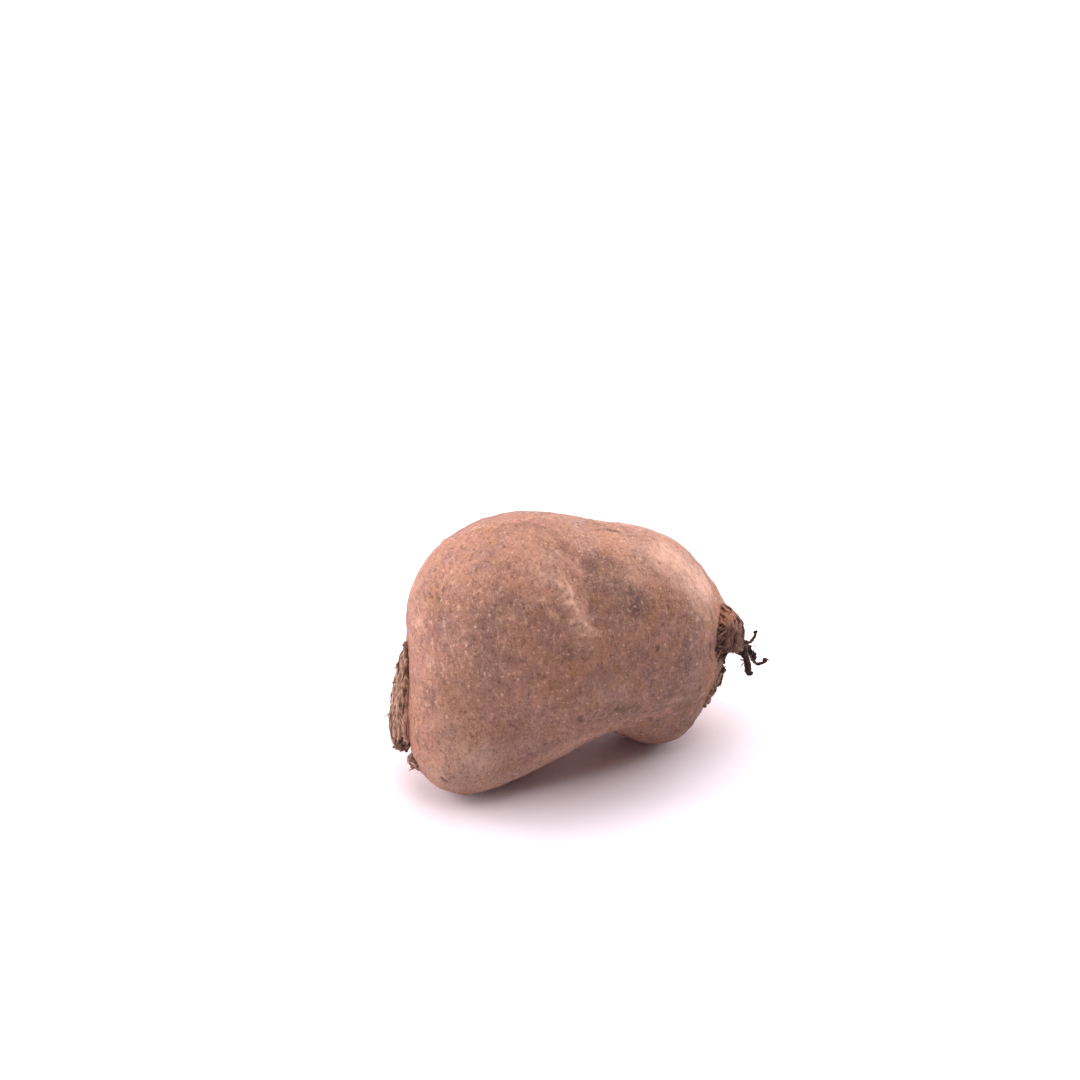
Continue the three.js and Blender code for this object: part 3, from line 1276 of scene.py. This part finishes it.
@dataclass
class StolonStub:
    """The snapped stolon: a dark plug wrapped in fibres, with a torn end and a crust round its root.

    Angles round it are in degrees from its top, and places along it in millimetres from its root.
    """

    node: str = "stolon_stub"
    voxel: float = 0.16
    smoothing: int = 2
    aim: tuple[float, float, float] = (1.0, -0.5, -0.2)
    radius: float = 3.5
    length: float = 6.4
    root_share: float = 0.42
    swell: float = 0.1
    knobs: Unevenness = Unevenness(0.3, 2.6, 3, 6.0)
    grit: Unevenness = Unevenness(0.2, 0.8, 3, 3.0)
    flare: float = 1.1
    flare_start: float = 1.4
    flare_length: float = 2.4
    tear: Unevenness = Unevenness(0.8, 1.0, 3, 7.0)
    tear_start: float = 4.2
    tear_run: float = 2.0
    bevel: float = 1.1
    droop: float = 1.5
    taper: float = 0.22
    dark: float = 0.48
    fresh: float = 1.08
    fresh_height: Span = (1.0, 0.25)
    fresh_along: Span = (4.2, 2.0)
    blotches: Unevenness = Unevenness(0.3, 1.5, 2, 7.0)
    wraps: Strips = Strips(84, (0.12, 0.34), (-0.4, 0.3), (0.45, 0.9), turn=(-12, 75), sweep=(45, 110),
                           along=(-0.5, 6.4), drift=(-0.4, 1.3), lift=(0.0, 0.18))
    loose_end: float = 0.5
    rim: Strips = Strips(34, (0.15, 0.35), (-0.6, 0.0), (0.6, 0.6), turn=(-30, 75), along=(-0.6, 2.4),
                         drift=(-0.3, 0.3), lift=(0.2, 0.2))
    rim_turns: tuple[float, ...] = (0, 14, 30)
    tail: Strips = Strips(46, (0.14, 0.42), (-0.2, 0.4), (0.4, 0.8), turn=(-120, 120), along=(0.5, 6.4),
                          lift=(0.12, 0.12))
    tail_foot: Share = (0.42, 0.6, 0.70)
    tail_stray: float = 0.7
    tail_bulge: float = 0.5
    tail_lumps: Crumbs = Crumbs(9, (0.4, 0.8), (0.6, 1.0))
    tail_lump_stray: float = 0.9
    collar: Strips = Strips(90, (0.1, 0.32), (-0.6, 0.3), (0.4, 0.7), sweep=(-45, 45), along=(0.3, 3.2),
                            lift=(0.12, 0.12))
    collar_stray: Span = (1.0, 2.9)
    collar_bulge: Span = (-0.2, 0.3)
    collar_lift: float = 0.05
    collar_middle: float = 0.55
    crust: Crumbs = Crumbs(70, (0.14, 0.42), (0.1, 0.95))
    crust_stray: Span = (-0.3, 2.6)
    crust_lift: float = 0.1
    plug_tone: float = 0.1
    seed: int = 5

    def build(self, material: bpy.types.Material, skin: BVHTree) -> bpy.types.Object:
        """Build the stub.

        Args:
            material: its finish.
            skin: the tuber's skin, which it stands on.

        Returns:
            The piece.
        """
        self.skin = skin
        self.axis = Vector(self.aim).normalized()
        low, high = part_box(self.node)
        self.root = (low + high) / 2 - self.axis * self.length * self.root_share * MM
        self.top = (UP - self.axis * UP.dot(self.axis)).normalized()
        plug = refined(node_copy(self.node), self.voxel)
        smooth(plug, self.smoothing)
        self.roughen(plug)
        self.surface = BVHTree.FromBMesh(plug)
        bundle = Strands(self.seed, self.shade)
        self.wrap(bundle)
        self.bind_rim(bundle)
        self.draw_tail(bundle)
        self.ring_root(bundle)
        bundle.join(plug, self.plug_tone)
        return show("stolon_stub_fibres", bundle.mesh(self.node), material, self.node)

    def shade(self, point: Vector) -> float:
        """The stub's tone: fresh along its upper rim, and dark below.

        Args:
            point: where, in metres.

        Returns:
            The tone to add there.
        """
        height = (point - self.root).dot(self.top) / (self.radius * MM)
        along = (point - self.root).dot(self.axis) / MM
        rim, rim_run = self.fresh_height
        end, end_run = self.fresh_along
        fresh = ease((height - rim) / rim_run) * ease((end - along) / end_run)
        return self.dark - self.fresh * fresh + self.blotches.at(point)

    def roughen(self, plug: bmesh.types.BMesh) -> None:
        """Swell the plug a little, roughen it, flare its root, and tear and droop its end.

        Args:
            plug: the smooth plug.
        """
        plug.normal_update()
        moves = []
        for vert in plug.verts:
            along = (vert.co - self.root).dot(self.axis) / MM
            height = self.swell + self.knobs.at(vert.co) + self.grit.at(vert.co)
            height += self.flare * ease(1 - (along - self.flare_start) / self.flare_length)
            torn = ease((along - self.tear_start) / self.tear_run) * self.tear.at(vert.co)
            share = max(along / self.length, 0)
            off = vert.co - self.root - self.axis * along * MM
            high = off.dot(self.top) / (self.radius * MM)
            slope = self.axis * (torn - self.bevel * share ** 3 * max(high, 0))
            slope -= self.top * self.droop * share ** 2
            moves.append((vert.normal * height + slope) * MM - off * self.taper * share)
        for vert, move in zip(plug.verts, moves):
            vert.co += move

    def on_plug(self, turn: float, along: float, lift: float) -> Vector:
        """A place on the plug.

        Args:
            turn: the angle from its top, in degrees.
            along: how far it is from the root, in millimetres.
            lift: how far it stands off the surface, in millimetres.

        Returns:
            The point.
        """
        out = turned(turn, self.axis, self.top)
        spot = self.root + (self.axis * along + out * (self.radius + OUTSIDE)) * MM
        near, normal = self.surface.find_nearest(spot)[:2]
        return near + normal * lift * MM

    def wrap(self, bundle: Strands) -> None:
        """Wind fibres down both sides of the plug, the ends of some hanging loose.

        Args:
            bundle: what they are added to.
        """
        rng, kind = bundle.rng, self.wraps
        for index in range(kind.count):
            side = 1 if index % 2 else -1
            first, sweep_by = side * pick(rng, kind.turn), side * pick(rng, kind.sweep)
            along, drift = pick(rng, kind.along), pick(rng, kind.drift)
            points = []
            for share in QUARTERS:
                lift = pick(rng, kind.lift) + self.loose_end * share ** 4 * rng.uniform(0, 1)
                points.append(self.on_plug(first + sweep_by * share, along + drift * share, lift))
            tone = pick(rng, kind.tone)
            out = (points[2] - self.root).normalized()
            bundle.fibre(points, pick(rng, kind.width), tone, pick(rng, kind.flat), out, steps=12)

    def bind_rim(self, bundle: Strands) -> None:
        """Lay short strips round the plug's upper rim.

        Args:
            bundle: what they are added to.
        """
        rng, kind = bundle.rng, self.rim
        for _ in range(kind.count):
            first, along = pick(rng, kind.turn), pick(rng, kind.along)
            points = [self.on_plug(first + turn, along + pick(rng, kind.drift), pick(rng, kind.lift))
                      for turn in self.rim_turns]
            width, tone = pick(rng, kind.width), pick(rng, kind.tone)
            bundle.fibre(points, width, tone, pick(rng, kind.flat), self.top, steps=8)

    def draw_tail(self, bundle: Strands) -> None:
        """Draw strips down from the torn end to where the rootlets leave it, and clot them together there.

        Args:
            bundle: what they are added to.
        """
        rng, kind = bundle.rng, self.tail
        foot = place("hanging_rootlet", self.tail_foot)
        for _ in range(kind.count):
            turn = pick(rng, kind.turn)
            start = self.on_plug(turn, pick(rng, kind.along), pick(rng, kind.lift))
            end = foot + scattered(rng, self.tail_stray) * MM
            fall = start - foot
            bulge = fall.cross(self.axis).cross(fall).normalized() * rng.uniform(0, self.tail_bulge) * MM
            points = [start, start.lerp(end, 0.5) + bulge, end]
            width, tone = pick(rng, kind.width), pick(rng, kind.tone)
            bundle.fibre(points, width, tone, pick(rng, kind.flat), self.axis)
        for _ in range(self.tail_lumps.count):
            spot = foot + scattered(rng, self.tail_lump_stray) * MM
            bundle.crumb(spot, pick(rng, self.tail_lumps.size), pick(rng, self.tail_lumps.tone))

    def ring_root(self, bundle: Strands) -> None:
        """Lay torn strips from the skin up to the plug, and crumbs all round its root.

        Args:
            bundle: what they are added to.
        """
        rng, kind = bundle.rng, self.collar
        for _ in range(kind.count):
            turn = pick(rng, kind.turn)
            out = turned(turn, self.axis, self.top)
            start, normal = self.on_skin(out, pick(rng, self.collar_stray), self.collar_lift)
            last = turn + pick(rng, kind.sweep)
            end = self.on_plug(last, pick(rng, kind.along), pick(rng, kind.lift))
            middle = start.lerp(end, self.collar_middle) + out * pick(rng, self.collar_bulge) * MM
            tone, width = pick(rng, kind.tone), pick(rng, kind.width)
            bundle.fibre([start, middle, end], width, tone, pick(rng, kind.flat), normal)
        for _ in range(self.crust.count):
            out = turned(rng.uniform(0, 360), self.axis, self.top)
            spot = self.on_skin(out, pick(rng, self.crust_stray), self.crust_lift)[0]
            bundle.crumb(spot, pick(rng, self.crust.size), pick(rng, self.crust.tone))

    def on_skin(self, out: Vector, stray: float, lift: float) -> tuple[Vector, Vector]:
        """A place on the tuber's skin beside the plug.

        Args:
            out: the way to it from the plug's axis.
            stray: how far it is from the plug's side, in millimetres.
            lift: how far it stands off the skin, in millimetres.

        Returns:
            The point and the way that the skin faces there.
        """
        near, normal = self.skin.find_nearest(self.root + out * (self.radius + stray) * MM)[:2]
        return near + normal * lift * MM, normal


@dataclass
class BarkPiece:
    """A piece of dry bark that clings to the skin: a furrowed slab with fibrous strips peeling off it.

    top and foot are its ends, as shares of its box. Places along it are shares of the way between them, and
    angles round it run in degrees from its front edge over its outer face to its rear edge.
    """

    node: str
    name: str
    top: Share
    foot: Share
    strip_count: int
    half_width: float
    lift: float = 0.5
    hair_count: int = 10
    crumb_count: int = 12
    strip_width: float = 0.45
    tone: float = 0.6
    seed: int = 21
    sink: float = 0.5
    swell: float = 1.3
    clots: tuple[tuple[float, float], ...] = ()
    voxel: float = 0.17
    base_height: float = -0.1
    furrow: float = 0.5
    furrow_depth: float = 0.3
    furrow_squeeze: float = 0.9
    furrows: Unevenness = Unevenness(1.0, 1.1, 3, 2.0)
    lumps: Unevenness = Unevenness(0.3, 2.2, 3, 5.0)
    strip_start: Span = (-0.04, 0.75)
    strip_run: Span = (0.15, 0.5)
    strip_end: float = 1.04
    strip_turn: Span = (-35, 215)
    strip_slant: float = 35.0
    strip_lift: float = 0.3
    strip_scale: Span = (0.3, 1.2)
    strip_flat: Span = (0.3, 0.6)
    strip_jitter: float = 0.35
    strip_lightness: float = 2.4
    top_tone: float = 0.35
    top_share: float = 0.22
    bit_turn: Span = (-30, 210)
    hair_length: Span = (0.5, 1.6)
    hair_width: Span = (0.08, 0.15)
    hair_tone: Span = (0.3, 1.0)
    hair_rise: float = 0.7
    hair_stray: float = 0.5
    hair_bend: float = 0.25
    crumb_size: Span = (0.15, 0.5)
    crumb_tone: Span = (0.2, 1.0)
    crumb_along: Span = (-0.05, 1.05)
    crumb_lift: float = 0.05
    clot: Crumbs = Crumbs(9, (0.35, 0.75), (0.65, 1.0))
    clot_spread: float = 0.05
    clot_turn: float = 50.0
    clot_lift: float = 0.15

    def build(self, material: bpy.types.Material, skin: BVHTree) -> bpy.types.Object:
        """Build the bark.

        Args:
            material: its finish.
            skin: the tuber's skin, which it clings to.

        Returns:
            The piece.
        """
        slab = refined(node_copy(self.node), self.voxel, 1)
        smooth(slab, 1)
        self.settle(slab, skin)
        slab.normal_update()
        self.start = place(self.node, self.top)
        self.end = place(self.node, self.foot)
        self.axis = (self.end - self.start).normalized()
        for vert, height in [(vert, self.height(vert.co)) for vert in slab.verts]:
            vert.co += vert.normal * height * MM
        self.surface = BVHTree.FromBMesh(slab)
        heart = sum(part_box("tuber"), Vector()) / 2
        away = (self.start + self.end) / 2 - heart
        self.outward = (away - self.axis * away.dot(self.axis)).normalized()
        self.side = self.outward.cross(self.axis).normalized()
        bundle = Strands(self.seed)
        self.lay_strips(bundle)
        self.add_bits(bundle)
        bundle.join(slab, self.tone)
        return show(self.name, bundle.mesh(self.node), material, self.node)

    def settle(self, slab: bmesh.types.BMesh, skin: BVHTree) -> None:
        """Press the slab's inner face into the skin, and let its outer face stand out farther.

        Args:
            slab: the smooth slab.
            skin: the tuber's skin.
        """
        for vert in slab.verts:
            near, normal = skin.find_nearest(vert.co)[:2]
            height = (vert.co - near).dot(normal) / MM
            vert.co += normal * ((height - self.sink) * self.swell - height) * MM

    def height(self, point: Vector) -> float:
        """The furrows and lumps of the slab.

        Args:
            point: where, in metres.

        Returns:
            How far the surface stands out there, in millimetres.
        """
        # Places are squeezed along the slab, which draws the furrows out that way.
        squeezed = point - self.axis * point.dot(self.axis) * self.furrow_squeeze
        furrows = abs(self.furrows.at(squeezed)) - self.furrow_depth
        return self.furrow * furrows + self.lumps.at(point) + self.base_height

    def on_slab(self, along: float, turn: float, lift: float) -> Vector:
        """A place on the slab.

        Args:
            along: the share of the way from its top to its foot.
            turn: the angle round it, in degrees.
            lift: how far it stands off the surface, in millimetres.

        Returns:
            The point.
        """
        around = turned(turn, self.axis, self.side)
        spot = self.start.lerp(self.end, along) + around * (self.half_width + OUTSIDE) * MM
        near, normal = self.surface.find_nearest(spot)[:2]
        return near + normal * lift * MM

    def lay_strips(self, bundle: Strands) -> None:
        """Lay strips along the slab, each one's end curling away from it.

        Args:
            bundle: what they are added to.
        """
        rng = bundle.rng
        for _ in range(self.strip_count):
            first = pick(rng, self.strip_start)
            last = min(first + pick(rng, self.strip_run), self.strip_end)
            turn = pick(rng, self.strip_turn)
            slant = rng.uniform(-self.strip_slant, self.strip_slant)
            curl = self.lift * rng.random() ** 2
            points = []
            for share in QUARTERS:
                lift = rng.uniform(0.0, self.strip_lift) + curl * share ** 3
                points.append(self.on_slab(first + (last - first) * share, turn + slant * share, lift))
            width = self.strip_width * pick(rng, self.strip_scale)
            flat = pick(rng, self.strip_flat)
            face = turned(turn, self.axis, self.side)
            # Most strips are light, a few are dark, and they darken towards the top.
            tone = rng.random() ** self.strip_lightness + self.top_tone * ease(1 - first / self.top_share)
            bundle.fibre(points, width, tone, flat, face, steps=12, jitter=self.strip_jitter)

    def add_bits(self, bundle: Strands) -> None:
        """Add stray hairs, crumbs and clots.

        Args:
            bundle: what they are added to.
        """
        rng = bundle.rng
        for _ in range(self.hair_count):
            spot = self.on_slab(rng.uniform(0, 1), pick(rng, self.bit_turn), 0)
            bend = scattered(rng, 1)
            way = self.outward * self.hair_rise + self.axis * rng.uniform(-1, 1) + bend * self.hair_stray
            tip = spot + way * pick(rng, self.hair_length) * MM
            middle = spot.lerp(tip, 0.5) + bend * self.hair_bend * MM
            width, tone = pick(rng, self.hair_width), pick(rng, self.hair_tone)
            bundle.fibre([spot, middle, tip], width, tone, steps=6, sides=5)
        for _ in range(self.crumb_count):
            along, turn = pick(rng, self.crumb_along), pick(rng, self.bit_turn)
            spot = self.on_slab(along, turn, self.crumb_lift)
            bundle.crumb(spot, pick(rng, self.crumb_size), pick(rng, self.crumb_tone))
        spread, swing = self.clot_spread, self.clot_turn
        for along, turn in self.clots:
            for _ in range(self.clot.count):
                share, angle = along + rng.uniform(-spread, spread), turn + rng.uniform(-swing, swing)
                spot = self.on_slab(share, angle, self.clot_lift)
                bundle.crumb(spot, pick(rng, self.clot.size), pick(rng, self.clot.tone))


@dataclass
class Rootlet:
    """A wiry rootlet: the CAD wire, rounded off, with knots, side hairs and soil stuck to it.

    start and end are its ends, as shares of its box.
    """

    node: str
    name: str
    start: Share
    end: Share
    knot_count: int
    hair_count: int
    knot_size: float
    seed: int
    thin: float = 0.1
    tone: float = 0.4
    voxel: float = 0.14
    knurls: Unevenness = Unevenness(0.22, 0.9, 3, 3.0)
    knot_scale: Span = (0.5, 1.0)
    knot_tone: Span = (0.4, 1.0)
    knot_lift: float = 0.1
    hair_width: Span = (0.08, 0.16)
    hair_tone: Span = (0.3, 0.9)
    hair_root: Span = (0.5, 0.9)
    hair_run: Span = (0.4, 1.2)
    hair_stray: float = 0.5
    hair_rise: float = 0.4

    def build(self, material: bpy.types.Material) -> bpy.types.Object:
        """Build the rootlet.

        Args:
            material: its finish.

        Returns:
            The piece.
        """
        wire = refined(node_copy(self.node), self.voxel)
        smooth(wire, 1)
        wire.normal_update()
        heights = [self.knurls.at(vert.co) - self.thin for vert in wire.verts]
        for vert, height in zip(wire.verts, heights):
            vert.co += vert.normal * height * MM
        bundle = Strands(self.seed)
        self.dress(bundle, BVHTree.FromBMesh(wire))
        bundle.join(wire, self.tone)
        return show(self.name, bundle.mesh(self.node), material, self.node)

    def dress(self, bundle: Strands, surface: BVHTree) -> None:
        """Set knots and side hairs along the wire.

        Args:
            bundle: what they are added to.
            surface: the wire's surface.
        """
        rng = bundle.rng
        start, end = place(self.node, self.start), place(self.node, self.end)
        for index in range(self.knot_count):
            along = (index + rng.uniform(0.2, 0.8)) / self.knot_count
            near, normal = surface.find_nearest(start.lerp(end, along))[:2]
            size = self.knot_size * pick(rng, self.knot_scale)
            bundle.crumb(near + normal * self.knot_lift * MM, size, pick(rng, self.knot_tone))
        for _ in range(self.hair_count):
            near, normal = surface.find_nearest(start.lerp(end, rng.uniform(0.1, 1)))[:2]
            turn = scattered(rng, 1)
            middle = near + (normal + turn * self.hair_stray) * pick(rng, self.hair_root) * MM
            last = middle + (normal * self.hair_rise + turn) * pick(rng, self.hair_run) * MM
            width, tone = pick(rng, self.hair_width), pick(rng, self.hair_tone)
            bundle.fibre([near, middle, last], width, tone, steps=7, sides=5)


# ---- The studio -----------------------------------------------------------------------------------------


def direction(azimuth: float, elevation: float) -> Vector:
    """The way from the tuber to something at an azimuth and an elevation, in degrees."""
    a, e = math.radians(azimuth), math.radians(elevation)
    return Vector((math.sin(a) * math.cos(e), -math.cos(a) * math.cos(e), math.sin(e)))


@dataclass(frozen=True)
class Lamp:
    """A square soft box that faces the tuber. Azimuth 0 is in front of it and 90 on its right.

    Its size and distance are in metres, and its power is in watts.
    """

    name: str
    azimuth: float
    elevation: float
    size: float
    power: float
    colour: Colour
    distance: float = 1.0

    def build(self, centre: Vector) -> None:
        """Hang the lamp.

        Args:
            centre: what it faces.
        """
        data = bpy.data.lights.new(self.name, "AREA")
        data.shape = "SQUARE"
        data.size = self.size
        data.energy = self.power
        data.color = self.colour
        lamp = bpy.data.objects.new(self.name, data)
        bpy.context.scene.collection.objects.link(lamp)
        back = direction(self.azimuth, self.elevation)
        lamp.location = centre + back * self.distance
        lamp.rotation_euler = back.to_track_quat("Z", "Y").to_euler()


@dataclass
class Studio:
    """The plain table, the soft light and the camera.

    The camera looks from its azimuth, elevation and distance at a point beside and above the tuber's middle,
    so that the tuber stands below the middle of the view. The camera's distance and the table's half-side
    are in metres.
    """

    centre_share: Share = (0.509, 0.402, 0.4705)
    azimuth: float = -18.0
    elevation: float = 38.0
    distance: float = 0.51
    lens: float = 85.0
    sensor: float = 36.0
    aim_right: float = -7.0
    aim_up: float = 22.4
    floor_half: float = 0.9
    floor_drop: float = 0.05
    ambient: float = 0.05
    ambient_colour: Colour = (0.96, 0.97, 1.0)
    lamps: tuple[Lamp, ...] = (
        Lamp("overhead_box", 0, 86, 0.8, 5.3, (1.0, 0.98, 0.965)),
        Lamp("back_box", 165, 62, 0.8, 4.6, (1.0, 0.955, 0.92)),
        Lamp("back_left_box", 225, 14, 0.6, 2.8, (1.0, 0.955, 0.92)),
        Lamp("left_box", -115, 30, 0.6, 3.4, (1.0, 0.985, 0.97)),
        Lamp("low_left_box", -90, 12, 0.6, 4.3, (1.0, 1.0, 1.0)),
        Lamp("back_right_box", 138, 14, 0.6, 3.4, (1.0, 0.985, 0.97)),
        Lamp("low_right_box", 100, 14, 0.6, 4.7, (0.97, 1.0, 1.0)),
    )

    def build(self) -> None:
        """Set the table, the light and the camera."""
        centre = place("tuber", self.centre_share)
        self.lay_floor()
        for lamp in self.lamps:
            lamp.build(centre)
        self.light_world()
        self.set_camera(centre)
        bpy.context.scene.view_settings.view_transform = "Standard"

    def lay_floor(self) -> None:
        """Lay the table top just under the tuber's feet."""
        bm = bmesh.new()
        bmesh.ops.create_grid(bm, x_segments=1, y_segments=1, size=self.floor_half)
        bmesh.ops.translate(bm, verts=bm.verts, vec=(0, 0, -self.floor_drop * MM))
        floor = bpy.data.objects.new("table", to_mesh(bm, "table"))
        floor.data.materials.append(FloorFinish().make())
        bpy.context.scene.collection.objects.link(floor)

    def light_world(self) -> None:
        """Fill the shadows from all round, behind a white background."""
        world = bpy.data.worlds.new("studio")
        bpy.context.scene.world = world
        world.use_nodes = True
        tree = world.node_tree
        tree.nodes.clear()
        output = tree.nodes.new("ShaderNodeOutputWorld")
        fill = tree.nodes.new("ShaderNodeBackground")
        fill.inputs["Color"].default_value = linear(self.ambient_colour)
        fill.inputs["Strength"].default_value = self.ambient
        white = tree.nodes.new("ShaderNodeBackground")
        white.inputs["Color"].default_value = (1, 1, 1, 1)
        path = tree.nodes.new("ShaderNodeLightPath")
        mix = tree.nodes.new("ShaderNodeMixShader")
        tree.links.new(path.outputs["Is Camera Ray"], mix.inputs[0])
        tree.links.new(fill.outputs[0], mix.inputs[1])
        tree.links.new(white.outputs[0], mix.inputs[2])
        tree.links.new(mix.outputs[0], output.inputs["Surface"])

    def set_camera(self, centre: Vector) -> None:
        """Stand the camera up.

        Args:
            centre: the middle of the tuber.
        """
        back = direction(self.azimuth, self.elevation)
        right = UP.cross(back).normalized()
        up = back.cross(right)
        spot = centre + back * self.distance
        aim = centre + right * self.aim_right * MM + up * self.aim_up * MM
        data = bpy.data.cameras.new("camera")
        data.lens = self.lens
        data.sensor_width = self.sensor
        camera = bpy.data.objects.new("camera", data)
        bpy.context.scene.collection.objects.link(camera)
        camera.location = spot
        camera.rotation_euler = (spot - aim).to_track_quat("Z", "Y").to_euler()
        bpy.context.scene.camera = camera


# ---- All of it ------------------------------------------------------------------------------------------


def main() -> None:
    """Build the tuber, what clings to it, and the studio."""
    logging.basicConfig(level=logging.INFO, format="%(name)s: %(message)s")
    Studio().build()
    skin = surface_of(Tuber().build(SkinFinish().make()))
    stolon = FibreFinish("stolon_fibre", (0.34, 0.235, 0.215), (0.54, 0.385, 0.345), (0.72, 0.52, 0.43),
                         streak_size=0.3, stretch=0.5)
    bark = FibreFinish("dry_bark", (0.42, 0.30, 0.25), (0.77, 0.565, 0.475), (0.95, 0.765, 0.68))
    wiry = FibreFinish("wiry_rootlet", (0.19, 0.13, 0.115), (0.34, 0.24, 0.215), (0.48, 0.35, 0.31),
                       streak_size=0.3, stretch=0.5)
    StolonStub().build(stolon.make(), skin)
    dry, dark = bark.make(), wiry.make()
    for piece in (
        BarkPiece("heel_bark_scale", "heel_bark_strips", (0.62, 0.9, 1.0), (0.3, 0.1, 0.0), 150, 2.7,
                  lift=1.0, hair_count=14, crumb_count=30, tone=0.8, swell=1.5,
                  clots=((0.0, 60), (0.04, 20), (1.0, 40), (0.93, 5))),
        BarkPiece("heel_bark_nub", "heel_bark_knob", (0.4, 0.9, 0.9), (0.6, 0.1, 0.1), 18, 1.1,
                  hair_count=4, crumb_count=10, tone=0.5, seed=22, sink=0.6, swell=1.2),
        BarkPiece("nose_bark_flake", "nose_bark_shreds", (0.9, 0.6, 1.0), (0.1, 0.3, 0.0), 40, 1.2,
                  hair_count=3, crumb_count=70, strip_width=0.4, tone=0.9, seed=23, sink=0.6, swell=1.0),
    ):
        piece.build(dry, skin)
    for rootlet in (
        Rootlet("hanging_rootlet", "hanging_rootlet_wire", (0.1, 0.5, 1), (0.9, 0.3, 0), 18, 12, 0.75, 31,
                thin=0.28),
        Rootlet("curled_rootlet", "curled_rootlet_wire", (0, 0.3, 1), (1, 0.9, 0.1), 22, 12, 0.6, 32),
        Rootlet("upturned_rootlet", "upturned_rootlet_wire", (0, 0, 0.6), (1, 1, 1), 6, 3, 0.5, 33),
    ):
        rootlet.build(dark)


if __name__ == "__main__":
    main()
